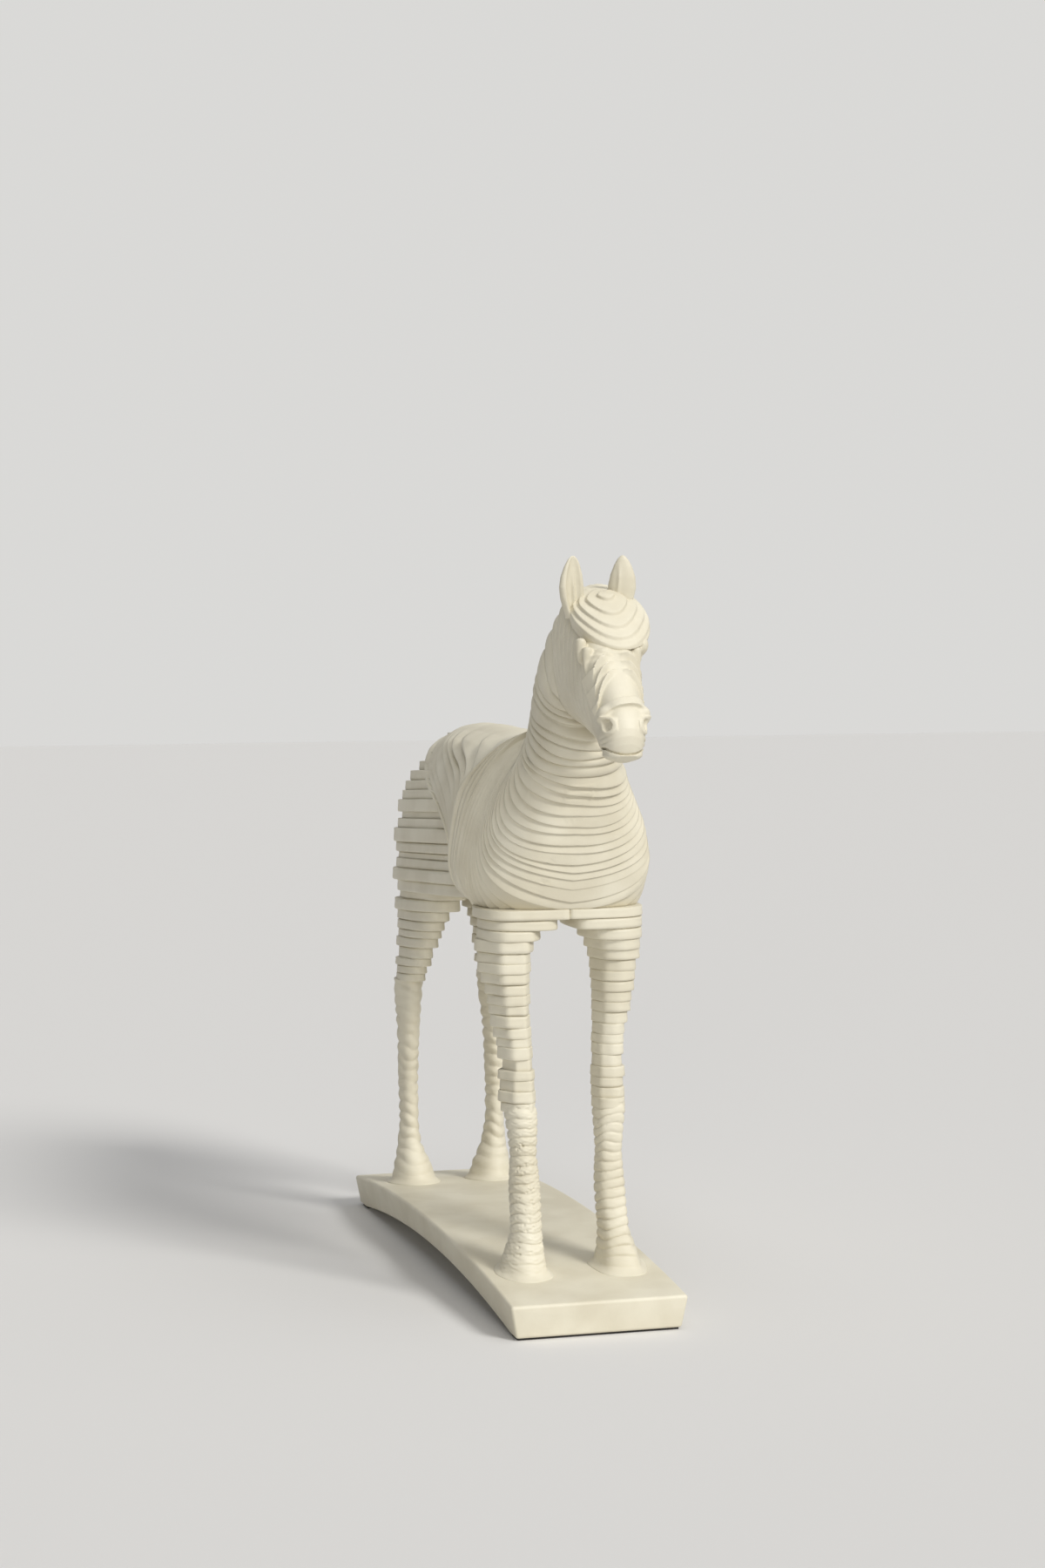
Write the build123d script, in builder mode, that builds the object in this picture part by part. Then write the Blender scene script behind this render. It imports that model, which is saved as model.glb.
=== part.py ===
from build123d import *

import os
from math import cos, pi, radians, sin, tan

# Horse of stacked contour slices, cast in off-white resin, on an arched plinth.
# Millimetres. The horse faces -Y, +Z is up, and the origin is the middle of the plinth's underside.
# near is the side at -X and off is the side at +X. A reach is a distance from the middle along Y:
# in front of it for the fore parts, behind it for the hind parts. Ahead and behind are distances
# along Y from the piece that carries the form, and rise and drop are heights from it.

# Plinth
plinth_length = 300.0
plinth_width = 84.0
plinth_end = 15.0
plinth_crown = 9.0
plinth_arch = 10.0
plinth_draft = 2.4
plinth_setback = 1.0
plinth_softening = 1.2
pad_thickness = 1.0
pad_depth = 12.0
pad_inset = 1.5

# Slices of the whole figure
slab = 4.8
ripple_depth = 0.8
leg_ripple = 4.3
leg_ripple_depth = 0.45
slab_sides = 10
leg_sides = 8
ear_sides = 10
trunk_sides = 14
tail_sides = 8

# Legs
fore_leg_reach = 88.0
hind_leg_reach = 110.0
leg_spacing = 22.0
fore_slab_floor = 97.0
fore_slabs = 19
hind_slab_floor = 127.0
thigh_slabs = 10
hind_slope_angle = 4.6
fore_ripple_angle = 12.0
hind_ripple_angle = 6.0

# Hindquarters and saddle
rump_behind = 37.0
rump_half_width = 34.3
rump_slabs = 17
rim_ahead = 10.0
rim_height = 257.0
rim_fall_length = 50.0
back_height = 266.0
back_half_width = 35.0
back_pivot_reach = 10.0
back_pivot_height = 130.0
back_terraces = 9
back_terrace_step = 1.2
back_first_angle = 46.0
back_last_angle = 122.0

# Shoulders and neck, from the forelegs
girth_behind = 67.5
chest_ahead = 17.0
withers_behind = 18.0
withers_height = 268.0
shoulder_half_width = 41.6
ripple_count = 2

# Head: the poll from the forelegs and the withers, the brow, jaw and nape from the poll, and the
# nose from the brow
poll_ahead = 34.0
poll_rise = 69.0
brow_ahead = 38.0
brow_drop = 26.0
nose_ahead = 22.0
nose_drop = 26.0
jaw_ahead = 2.0
jaw_drop = 60.0
nape_behind = 5.0
head_half_width = 20.0
head_length = 52.0
face_slice = 3.0
cap_layer = 2.6
cap_half_width = 20.5
cap_half_length = 24.0
cap_forward = 0.5
ear_rise = 14.0
ear_ahead = 15.0
ear_spacing = 10.4
ear_lean = 1.3
ear_half_width = 6.0

# Tail
tail_top_slabs = 10
tail_slabs = 14
tail_half_width = 6.0

# Steel pins
leg_pin_radius = 1.5
neck_pin_radius = 2.0
pin_clearance = 0.1
pin_depth = 4.0
pin_lean = 14.0
fore_pin_top = 130.0
hind_pin_top = 150.0
neck_pin_length = 26.0
head_pin_length = 16.0
body_rod_height = 194.6
body_rod_behind = 26.0
body_rod_rear = 12.0

# Stations of the legs: height share of the piece, then middle across as a share of the leg
# spacing, half width as a share of it, middle along as a share of the leg's reach, and half
# depth as a share of the leg spacing.
fore_stack_shares = (
    (0.00, 1.00, 0.32, 1.045, 0.43),
    (0.09, 1.00, 0.355, 1.034, 0.455),
    (0.21, 0.99, 0.31, 1.023, 0.43),
    (0.33, 1.045, 0.336, 1.006, 0.477),
    (0.45, 1.118, 0.39, 0.994, 0.545),
    (0.55, 1.145, 0.418, 0.989, 0.568),
    (0.636, 1.173, 0.455, 0.977, 0.636),
    (0.735, 1.22, 0.51, 0.966, 0.727),
    (0.81, 1.20, 0.57, 0.955, 0.818),
    (0.877, 1.13, 0.68, 0.932, 0.909),
    (0.91, 1.00, 0.81, 0.909, 1.0),
    (0.95, 0.93, 0.875, 0.886, 1.09),
    (1.00, 0.93, 0.90, 0.864, 1.18),
)
fore_shank_shares = (
    (0.00, 1.055, 0.523, 1.188, 0.75),
    (0.06, 1.055, 0.491, 1.188, 0.718),
    (0.15, 1.03, 0.418, 1.182, 0.568),
    (0.27, 0.96, 0.335, 1.17, 0.432),
    (0.395, 0.94, 0.325, 1.142, 0.377),
    (0.52, 0.94, 0.335, 1.114, 0.39),
    (0.716, 0.945, 0.28, 1.091, 0.34),
    (0.85, 0.965, 0.30, 1.08, 0.364),
    (0.94, 0.98, 0.31, 1.068, 0.39),
    (1.00, 1.00, 0.295, 1.051, 0.40),
)
thigh_stack_shares = (
    (0.00, 1.023, 0.309, 1.004, 0.614),
    (0.045, 1.014, 0.318, 1.006, 0.645),
    (0.25, 0.99, 0.345, 0.982, 0.88),
    (0.39, 0.964, 0.37, 0.96, 1.09),
    (0.55, 0.94, 0.40, 0.928, 1.30),
    (0.69, 0.925, 0.44, 0.91, 1.53),
    (0.765, 0.90, 0.462, 0.886, 1.77),
    (0.84, 0.88, 0.505, 0.868, 1.99),
    (0.91, 0.86, 0.565, 0.84, 2.24),
    (1.00, 0.77, 0.66, 0.775, 2.55),
)
hind_shank_shares = (
    (0.00, 0.93, 0.55, 0.955, 0.80),
    (0.045, 0.94, 0.52, 0.955, 0.75),
    (0.126, 0.98, 0.43, 0.96, 0.60),
    (0.225, 1.035, 0.278, 0.968, 0.41),
    (0.324, 1.064, 0.21, 0.964, 0.327),
    (0.495, 1.077, 0.223, 0.968, 0.336),
    (0.667, 1.073, 0.227, 0.977, 0.364),
    (0.793, 1.059, 0.25, 0.986, 0.432),
    (0.928, 1.04, 0.286, 1.0, 0.568),
    (1.00, 1.027, 0.29, 1.004, 0.59),
)

# Stations of the rump: height share, half width share of the rump's, middle along as a share
# of the rump's reach, and half depth as a share of it.
rump_shares = (
    (0.00, 0.977, 0.31, 0.65),
    (0.195, 0.985, 0.325, 0.665),
    (0.378, 1.00, 0.337, 0.663),
    (0.56, 0.97, 0.376, 0.614),
    (0.65, 0.945, 0.396, 0.58),
    (0.742, 0.88, 0.378, 0.561),
    (0.846, 0.80, 0.364, 0.534),
    (0.91, 0.73, 0.344, 0.514),
    (1.00, 0.60, 0.31, 0.48),
)

# Stations of the shoulder and neck slices, from the girth to the poll: place of the slice's
# upper end between withers and nape and its height, place and height of its lower end, half
# width as a share of the shoulder's, and how much wider the slice is below. A height of 0 is
# the top of the forelegs, 1 the withers and 2 the poll. A lower end's place is 0 at the girth,
# 1 at the chest and 2 at the jaw.
fan_shares = (
    (0.00, 1.00, -0.03, -0.05, 0.89, 0.22),
    (0.01, 1.013, 0.375, -0.10, 0.95, 0.28),
    (0.02, 1.027, 0.61, -0.21, 0.97, 0.30),
    (0.03, 1.043, 0.834, -0.175, 0.96, 0.34),
    (0.04, 1.058, 0.97, 0.01, 0.90, 0.48),
    (0.05, 1.074, 1.105, 0.274, 0.78, 0.62),
    (0.065, 1.093, 1.316, 0.449, 0.65, 0.66),
    (0.085, 1.117, 1.526, 0.624, 0.56, 0.64),
    (0.106, 1.151, 1.84, 0.775, 0.51, 0.48),
    (0.128, 1.202, 2.16, 0.887, 0.485, 0.30),
    (0.16, 1.268, 2.316, 0.987, 0.46, 0.18),
    (0.20, 1.362, 2.16, 1.094, 0.43, 0.10),
    (0.30, 1.507, 2.05, 1.159, 0.40, 0.05),
    (0.447, 1.668, 2.00, 1.203, 0.365, 0.00),
    (0.66, 1.828, 1.99, 1.246, 0.32, 0.00),
    (1.01, 1.97, 2.10, 1.29, 0.27, 0.00),
)
girth_last = 1
shoulder_last = 8
flank_share = 0.18

# Head: half width by place along the face from the poll to the lips, how much of it each slice
# has from the bridge of the nose inwards, and the muzzle's outline in front of and below the
# nose, all as shares of the head's width and length.
face_width_shares = (
    (-0.90, 0.36),
    (-0.55, 0.66),
    (-0.25, 1.00),
    (0.02, 1.00),
    (0.30, 0.84),
    (0.55, 0.66),
    (0.72, 0.54),
    (0.88, 0.48),
    (1.00, 0.34),
)
bridge_shares = (0.30, 0.52, 0.68, 0.80, 0.89, 0.95)
cheek_shares = (1.0, 1.0, 1.0, 1.0, 1.0, 0.97, 0.93, 0.88, 0.82, 0.75, 0.68)
muzzle_shares = ((0.102, 0.15), (0.06, 0.35), (-0.17, 0.46), (-0.46, 0.33))
cap_shares = ((1.0, 1.0), (0.90, 0.88), (0.745, 0.72), (0.54, 0.52), (0.31, 0.30))

# Ear: height share, then half width and half thickness as shares of the ear's half width
ear_shares = (
    (-0.25, 0.62, 0.62),
    (0.0, 0.72, 0.66),
    (0.35, 1.0, 0.74),
    (0.62, 0.82, 0.56),
    (0.86, 0.42, 0.32),
    (1.0, 0.10, 0.10),
)

# Shares of smaller forms
back_middle_share = 0.56
tail_end_share = 0.6
tail_stand_share = 0.2
terrace_wall_share = 0.06
hoof_fade_share = 0.25
level_share = 0.2

# Squareness of the slices: 2 is a circle, more is squarer
round_power = 2.0
trunk_power = 2.2
shank_power = 2.3
thigh_power = 2.4
foreleg_power = 3.0

half_length = plinth_length / 2
plinth_corner = pad_thickness + plinth_end
crown_top = plinth_corner + plinth_crown
hoof_seat = plinth_corner
fore_slab_top = fore_slab_floor + fore_slabs * slab
hind_slab_rise = slab / cos(radians(hind_slope_angle))
thigh_top = hind_slab_floor + thigh_slabs * hind_slab_rise

rump_reach = hind_leg_reach + rump_behind
rim_reach = hind_leg_reach - rim_ahead
girth_reach = fore_leg_reach - girth_behind
chest_reach = fore_leg_reach + chest_ahead
withers_reach = fore_leg_reach - withers_behind
body_rod_front = fore_leg_reach - body_rod_behind
poll_reach = fore_leg_reach + poll_ahead
brow_reach = poll_reach + brow_ahead
nose_reach = brow_reach + nose_ahead
jaw_reach = poll_reach + jaw_ahead
nape_reach = poll_reach - nape_behind
ear_reach = poll_reach + ear_ahead

poll_height = withers_height + poll_rise
brow_height = poll_height - brow_drop
nose_height = brow_height - nose_drop
jaw_height = poll_height - jaw_drop
ear_height = poll_height + ear_rise

os.makedirs("parts", exist_ok=True)


def keep(name, part):
    """Label a finished piece and write it."""
    part.label = name
    export_step(part, "parts/" + name + ".step")


def between(table, share):
    """Values of a station table at a share of its length, between the two rows around it."""
    low, high = table[0], table[1]
    for low, high in zip(table, table[1:]):
        if share <= high[0]:
            break
    part_way = min(max((share - low[0]) / (high[0] - low[0]), 0), 1)
    return [a + (b - a) * part_way for a, b in zip(low[1:], high[1:])]


def slice_outline(half_width, half_depth, sides, power):
    """Points of a rounded slice around its own middle."""
    points = []
    for k in range(sides):
        angle = 2 * pi * (k + 0.5) / sides
        across, along = cos(angle), sin(angle)
        size = (abs(across) ** power + abs(along) ** power) ** (1 / power)
        points.append((half_width * across / size, half_depth * along / size))
    return points


def side_plane(low, high):
    """Plane across the figure through two points of its side view."""
    along = high - low
    return Plane(origin=(low + high) / 2, x_dir=(1, 0, 0), z_dir=Vector(1, 0, 0).cross(along))


def slab_level(reach, height, slope):
    """Plane of a slab that passes a height at a reach and rises to the front by a slope angle."""
    turn = radians(slope)
    return Plane(origin=(0, reach, height), x_dir=(1, 0, 0), z_dir=(0, sin(turn), cos(turn)))


# Leg pins: foot and head of each pin, in the plinth and in the upper leg
def pin_ends(reach, lean, top, side):
    foot = Vector(side * leg_spacing, reach + lean, plinth_corner - pin_depth)
    return foot, Vector(side * leg_spacing, reach, top)


pin_sites = {
    "near_fore": pin_ends(-fore_leg_reach, -pin_lean, fore_pin_top, -1),
    "off_fore": pin_ends(-fore_leg_reach, -pin_lean, fore_pin_top, 1),
    "near_hind": pin_ends(hind_leg_reach, -leg_ripple, hind_pin_top, -1),
    "off_hind": pin_ends(hind_leg_reach, -leg_ripple, hind_pin_top, 1),
}


def rod_between(foot, head, radius, clearance):
    """Round rod from foot to head, or its bore with a clearance all round."""
    axis = (head - foot).normalized()
    start = foot - axis * clearance
    with BuildPart() as rod:
        with Locations(Plane(origin=start, z_dir=axis)):
            Cylinder(
                radius + clearance,
                (head - foot).length + 2 * clearance,
                align=(Align.CENTER, Align.CENTER, Align.MIN),
            )
    return rod.part


for name, (foot, head) in pin_sites.items():
    keep(name + "_pin", rod_between(foot, head, leg_pin_radius, 0))

# Plinth: the crowned and arched side profile, cut to the drafted section
with BuildPart() as plinth:
    with BuildSketch(Plane.YZ):
        with BuildLine():
            Line((-half_length + plinth_setback, pad_thickness), (-half_length, plinth_corner))
            ThreePointArc((-half_length, plinth_corner), (0, crown_top), (half_length, plinth_corner))
            Line((half_length, plinth_corner), (half_length - plinth_setback, pad_thickness))
            Line((half_length - plinth_setback, pad_thickness), (half_length - pad_depth, pad_thickness))
            ThreePointArc(
                (half_length - pad_depth, pad_thickness),
                (0, pad_thickness + plinth_arch),
                (-half_length + pad_depth, pad_thickness),
            )
            Line((-half_length + pad_depth, pad_thickness), (-half_length + plinth_setback, pad_thickness))
        make_face()
    extrude(amount=plinth_width, both=True)
    with BuildSketch(Plane.XZ):
        Polygon(
            (-plinth_width / 2, crown_top),
            (-plinth_width / 2, plinth_corner),
            (-plinth_width / 2 + plinth_draft, 0),
            (plinth_width / 2 - plinth_draft, 0),
            (plinth_width / 2, plinth_corner),
            (plinth_width / 2, crown_top),
            align=None,
        )
    extrude(amount=plinth_length, both=True, mode=Mode.INTERSECT)
    long_edges = plinth.edges().filter_by(lambda e: e.length > plinth_length / 2)
    fillet(long_edges.group_by(Axis.Z)[-1], radius=plinth_softening)
    for foot, head in pin_sites.values():
        add(rod_between(foot, head, leg_pin_radius, pin_clearance), mode=Mode.SUBTRACT)
keep("plinth", plinth.part)


# Felt pads under the two ends
def felt_pad(end):
    front = half_length - plinth_setback - pad_inset
    rear = half_length - pad_depth
    with BuildPart() as pad:
        with BuildSketch(Plane.XY):
            with Locations((0, end * (front + rear) / 2)):
                Rectangle(plinth_width - 2 * plinth_draft - 2 * pad_inset, front - rear)
        extrude(amount=pad_thickness)
    return pad.part


keep("front_felt_pad", felt_pad(-1))
keep("rear_felt_pad", felt_pad(1))


# Lower legs: rippled rings tilted up at the front, standing on the plinth's crown
def shank(table, top, reach, tilt, top_slope, side, pin):
    rings = round((top - hoof_seat) / leg_ripple)
    with BuildPart() as leg:
        for k in range(2 * rings + 1):
            share = k / (2 * rings)
            middle, half_width, along, half_depth = between(table, share)
            groove = leg_ripple_depth * (k % 2) * min(1, share / hoof_fade_share)
            level = min(1, share / level_share, (1 - share) / level_share) * tilt + share * top_slope
            rise = share * tan(radians(top_slope)) * (reach - along * reach)
            normal = (0, sin(radians(level)), cos(radians(level)))
            height = hoof_seat + share * (top - hoof_seat) + rise
            centre = (side * middle * leg_spacing, along * reach, height)
            with BuildSketch(Plane(origin=centre, x_dir=(1, 0, 0), z_dir=normal)):
                outline = slice_outline(
                    half_width * leg_spacing - groove,
                    half_depth * leg_spacing - groove,
                    leg_sides,
                    shank_power,
                )
                Polygon(*outline, align=None)
        loft(ruled=True)
        with BuildSketch(Plane.YZ):
            with BuildLine():
                ThreePointArc((-half_length, plinth_corner), (0, crown_top), (half_length, plinth_corner))
                Polyline(
                    (half_length, plinth_corner),
                    (half_length, 0),
                    (-half_length, 0),
                    (-half_length, plinth_corner),
                )
            make_face()
        extrude(amount=plinth_width, both=True, mode=Mode.SUBTRACT)
        add(rod_between(*pin, leg_pin_radius, pin_clearance), mode=Mode.SUBTRACT)
    return leg.part


# Upper legs: stacks of flat slabs. Those of the hind legs and the rump rise to the front.
def slab_stack(table, floor, count, reach, slope, power, side, pin):
    with BuildPart() as stack:
        for k in range(count):
            middle, half_width, along, half_depth = between(table, k / (count - 1))
            height = floor + k * slab / cos(radians(slope))
            with BuildSketch(slab_level(reach, height, slope)):
                with Locations((side * middle * leg_spacing, along * reach - reach)):
                    outline = slice_outline(
                        half_width * leg_spacing, half_depth * leg_spacing, slab_sides, power
                    )
                    Polygon(*outline, align=None)
        extrude(amount=slab)
        add(rod_between(*pin, leg_pin_radius, pin_clearance), mode=Mode.SUBTRACT)
    return stack.part


hind_slabs = []
for name, side in (("near", -1), ("off", 1)):
    pin = pin_sites[name + "_fore"]
    fore_shank = shank(
        fore_shank_shares, fore_slab_floor, -fore_leg_reach, fore_ripple_angle, 0, side, pin
    )
    keep(name + "_fore_shank", fore_shank)
    fore_stack = slab_stack(
        fore_stack_shares, fore_slab_floor, fore_slabs, -fore_leg_reach, 0, foreleg_power, side, pin
    )
    keep(name + "_fore_slabs", fore_stack)
    pin = pin_sites[name + "_hind"]
    slope = hind_slope_angle
    hind_shank = shank(
        hind_shank_shares, hind_slab_floor, hind_leg_reach, hind_ripple_angle, slope, side, pin
    )
    keep(name + "_hind_shank", hind_shank)
    hind_stack = slab_stack(
        thigh_stack_shares, hind_slab_floor, thigh_slabs, hind_leg_reach, slope, thigh_power, side, pin
    )
    keep(name + "_hind_slabs", hind_stack)
    hind_slabs.append(hind_stack)


# Girth, shoulders and neck: slices strung along a bent spine
def upper_end(row):
    place, level = row[0], row[1]
    return Vector(0, -withers_reach - place * (nape_reach - withers_reach), level_height(level))


def lower_end(row):
    place, level = row[2], row[3]
    if place < 1:
        reach = girth_reach + place * (chest_reach - girth_reach)
    else:
        reach = chest_reach + (place - 1) * (jaw_reach - chest_reach)
    return Vector(0, -reach, level_height(level))


def level_height(level):
    if level < 1:
        return fore_slab_top + level * (withers_height - fore_slab_top)
    return withers_height + (level - 1) * (poll_height - withers_height)


def fan_piece(first, last, ripples, depth):
    """Slices from one station to another, with ripples between."""
    steps = 2 * ripples * (last - first)
    table = [(k, *row) for k, row in enumerate(fan_shares)]
    with BuildPart() as piece:
        for k in range(steps + 1):
            row = between(table, first + (last - first) * k / steps)
            upper, lower = upper_end(row), lower_end(row)
            half_width, wider_below = row[4], row[5]
            half_long = (lower - upper).length / 2
            groove = depth * (k % 2)
            outline = slice_outline(
                half_width * shoulder_half_width - groove, half_long - groove, trunk_sides, trunk_power
            )
            with BuildSketch(side_plane(upper, lower)):
                Polygon(*[(x * (1 + wider_below * y / half_long), y) for x, y in outline], align=None)
        loft(ruled=True)
    return piece


# Planes that part the trunk's castings: the girth's rear face and the saddle's rear rim
girth_top, girth_foot = upper_end(fan_shares[0]), lower_end(fan_shares[0])
flank = girth_foot + (girth_top - girth_foot) * flank_share
girth_plane = side_plane(girth_foot, girth_top)
rim_plane = side_plane(flank, Vector(0, rim_reach, rim_height))
below_shoulder = Plane.XY.offset(fore_slab_top)

body_rod_ends = (Vector(0, body_rod_rear, body_rod_height), Vector(0, -body_rod_front, body_rod_height))
keep("body_rod", rod_between(*body_rod_ends, leg_pin_radius, 0))

# Hindquarters: full-width slabs under the saddle's rear rim
with BuildPart() as hindquarters:
    for k in range(rump_slabs):
        half_width, along, half_depth = between(rump_shares, k / (rump_slabs - 1))
        with BuildSketch(slab_level(hind_leg_reach, thigh_top + k * hind_slab_rise, hind_slope_angle)):
            with Locations((0, along * rump_reach - hind_leg_reach)):
                outline = slice_outline(
                    half_width * rump_half_width, half_depth * rump_reach, trunk_sides, thigh_power
                )
                Polygon(*outline, align=None)
    extrude(amount=slab)
    split(bisect_by=rim_plane, keep=Keep.BOTTOM)
    split(bisect_by=girth_plane, keep=Keep.BOTTOM)
    add(rod_between(*body_rod_ends, leg_pin_radius, pin_clearance), mode=Mode.SUBTRACT)
keep("hindquarters", hindquarters.part)

# Saddle: terraces across the back that fan out from a pivot low in the barrel
with BuildPart() as saddle:
    pivot = Vector(0, -back_pivot_reach, back_pivot_height)
    terrace_turn = (back_last_angle - back_first_angle) / back_terraces
    for k in range(2 * back_terraces):
        terrace, low_end = divmod(k + 1, 2)
        wall = (low_end - 0.5) * terrace_wall_share
        turn = radians(back_first_angle + (terrace + wall) * terrace_turn)
        drop = back_terrace_step * low_end
        top_reach = -back_pivot_reach + (back_height - back_pivot_height) * cos(turn) / sin(turn)
        fall = max(0, (top_reach - rim_reach) / rim_fall_length + 1) ** 2
        height = back_height - fall * (back_height - rim_height)
        reach = (height - back_pivot_height) / sin(turn)
        direction = Vector(0, cos(turn), sin(turn))
        inner, outer = pivot + direction * reach * (2 * back_middle_share - 1), pivot + direction * reach
        with BuildSketch(side_plane(inner, outer)):
            outline = slice_outline(
                back_half_width - drop, (outer - inner).length / 2 - drop, trunk_sides, round_power
            )
            Polygon(*outline, align=None)
    loft(ruled=True)
    split(bisect_by=rim_plane, keep=Keep.TOP)
    split(bisect_by=girth_plane, keep=Keep.BOTTOM)
keep("saddle", saddle.part)

# Girth band, forequarters and neck, with the pins that join them
girth_band = fan_piece(0, girth_last, 1, ripple_depth / 2)
forequarters = fan_piece(girth_last, shoulder_last, ripple_count, ripple_depth)
neck = fan_piece(shoulder_last, len(fan_shares) - 1, ripple_count, ripple_depth)

neck_joint = side_plane(upper_end(fan_shares[shoulder_last]), lower_end(fan_shares[shoulder_last]))
neck_pin_ends = (
    neck_joint.origin - neck_joint.z_dir * (neck_pin_length / 2),
    neck_joint.origin + neck_joint.z_dir * (neck_pin_length / 2),
)
keep("neck_pin", rod_between(*neck_pin_ends, neck_pin_radius, 0))
neck_bore = rod_between(*neck_pin_ends, neck_pin_radius, pin_clearance)
body_bore = rod_between(*body_rod_ends, leg_pin_radius, pin_clearance)

nape = Vector(0, -(jaw_reach + nape_reach) / 2, (jaw_height + poll_height) / 2)
head_pin_ends = (nape + Vector(0, head_pin_length / 2, 0), nape - Vector(0, head_pin_length / 2, 0))
keep("head_pin", rod_between(*head_pin_ends, neck_pin_radius, 0))
head_bore = rod_between(*head_pin_ends, neck_pin_radius, pin_clearance)

with girth_band:
    split(bisect_by=below_shoulder, keep=Keep.TOP)
    add(body_bore, mode=Mode.SUBTRACT)
keep("girth_band", girth_band.part)

with forequarters:
    split(bisect_by=below_shoulder, keep=Keep.TOP)
    add(body_bore, mode=Mode.SUBTRACT)
    add(neck_bore, mode=Mode.SUBTRACT)
keep("forequarters", forequarters.part)

# Head: slices parallel to the face, trimmed to the profile of the head
brow = Vector(0, -brow_reach, brow_height)
nose = Vector(0, -nose_reach, nose_height)
poll = Vector(0, -poll_reach, poll_height)
face_plane = side_plane(nose, brow)
face_normal = face_plane.z_dir if face_plane.z_dir.Z > 0 else -face_plane.z_dir

muzzle = []
for ahead, below in muzzle_shares:
    muzzle.append((-nose_reach - ahead * head_length, nose_height - below * head_length))

with BuildPart() as head_block:
    with BuildSketch(Plane.YZ):
        Polygon(
            (-brow_reach, brow_height),
            (-nose_reach, nose_height),
            *muzzle,
            (-jaw_reach, jaw_height),
            (-nape_reach, poll_height),
            (-poll_reach, poll_height),
            align=None,
        )
    extrude(amount=shoulder_half_width, both=True)

with BuildPart() as head:
    for k, depth_share in enumerate(bridge_shares + cheek_shares):
        floor = brow - face_normal * (face_slice * (k + 1))
        side_points = []
        for place, width in face_width_shares:
            side_points.append((width * depth_share * head_half_width, -place * head_length))
        with BuildSketch(Plane(origin=floor, x_dir=(1, 0, 0), z_dir=face_normal)):
            Polygon(*side_points, *[(-x, y) for x, y in reversed(side_points)], align=None)
    extrude(amount=face_slice)
    add(head_block.part, mode=Mode.INTERSECT)
    add(head_bore, mode=Mode.SUBTRACT)
keep("head", head.part)

with neck:
    add(head_block.part, mode=Mode.SUBTRACT)
    add(neck_bore, mode=Mode.SUBTRACT)
    add(head_bore, mode=Mode.SUBTRACT)
keep("neck", neck.part)

# Forelock cap and ears on the seat between the brow and the poll
seat = Plane(origin=(brow + poll) / 2, x_dir=(1, 0, 0), z_dir=Vector(-1, 0, 0).cross(brow - poll))


def ear(side):
    seat_share = (ear_reach - poll_reach) / (brow_reach - poll_reach)
    base = poll + (brow - poll) * seat_share + Vector(side * ear_spacing, 0, 0)
    tip = Vector(side * (ear_spacing + ear_lean), -ear_reach - 2 * ear_lean, ear_height)
    with BuildPart() as leaf:
        for share, wide, thick in ear_shares:
            outline = slice_outline(wide * ear_half_width, thick * ear_half_width, ear_sides, round_power)
            with BuildSketch(Plane(origin=base + (tip - base) * share, x_dir=(1, 0, 0), z_dir=tip - base)):
                Polygon(*outline, align=None)
        loft(ruled=True)
        split(bisect_by=seat, keep=Keep.TOP)
    return leaf.part


near_ear, off_ear = ear(-1), ear(1)
keep("near_ear", near_ear)
keep("off_ear", off_ear)

with BuildPart() as cap:
    for k, (wide, long) in enumerate(cap_shares):
        with BuildSketch(seat.offset(k * cap_layer)):
            with Locations((0, -cap_forward * k)):
                outline = slice_outline(
                    wide * cap_half_width, long * cap_half_length, trunk_sides, trunk_power
                )
                Polygon(*outline, align=None)
    extrude(amount=cap_layer)
    add(near_ear, mode=Mode.SUBTRACT)
    add(off_ear, mode=Mode.SUBTRACT)
keep("forelock_cap", cap.part)


# Tail: short slabs that hang against the rump
def rump_rear(height):
    """How far behind the middle the rump or the thighs reach at a height."""
    if height >= thigh_top:
        row = between(rump_shares, (height - thigh_top) / ((rump_slabs - 1) * hind_slab_rise))
        return (row[1] + row[2]) * rump_reach
    row = between(thigh_stack_shares, (height - hind_slab_floor) / ((thigh_slabs - 1) * hind_slab_rise))
    return row[2] * hind_leg_reach + row[3] * leg_spacing


with BuildPart() as tail:
    for k in range(tail_slabs):
        swell = tail_end_share + (1 - tail_end_share) * sin(pi * k / (tail_slabs - 1))
        size = tail_half_width * swell
        height = thigh_top + (tail_top_slabs - 1 - k) * hind_slab_rise
        with BuildSketch(slab_level(hind_leg_reach, height, hind_slope_angle)):
            with Locations((0, rump_rear(height) - hind_leg_reach + size * tail_stand_share)):
                Polygon(*slice_outline(size, size, tail_sides, round_power), align=None)
    extrude(amount=slab)
    for neighbour in (hindquarters.part, *hind_slabs):
        add(neighbour, mode=Mode.SUBTRACT)
keep("tail", tail.part)
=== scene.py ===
import bpy
import numpy as np
import openvdb
from math import cos, pi, radians, sin, tan
from mathutils import Matrix, Vector


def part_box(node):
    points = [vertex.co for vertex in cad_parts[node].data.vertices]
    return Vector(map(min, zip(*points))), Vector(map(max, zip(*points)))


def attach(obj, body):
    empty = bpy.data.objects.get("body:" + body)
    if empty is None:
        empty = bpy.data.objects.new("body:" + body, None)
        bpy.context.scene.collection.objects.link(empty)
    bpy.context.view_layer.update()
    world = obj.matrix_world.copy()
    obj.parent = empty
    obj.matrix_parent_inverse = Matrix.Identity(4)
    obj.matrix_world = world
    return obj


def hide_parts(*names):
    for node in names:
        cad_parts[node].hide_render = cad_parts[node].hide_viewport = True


# Horse of stacked contour slices, cast in off-white resin, on an arched plinth.
# Sizes are in millimetres until skin() turns them into metres. The horse faces -Y.
# near is the side at -X and off is the side at +X.

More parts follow.
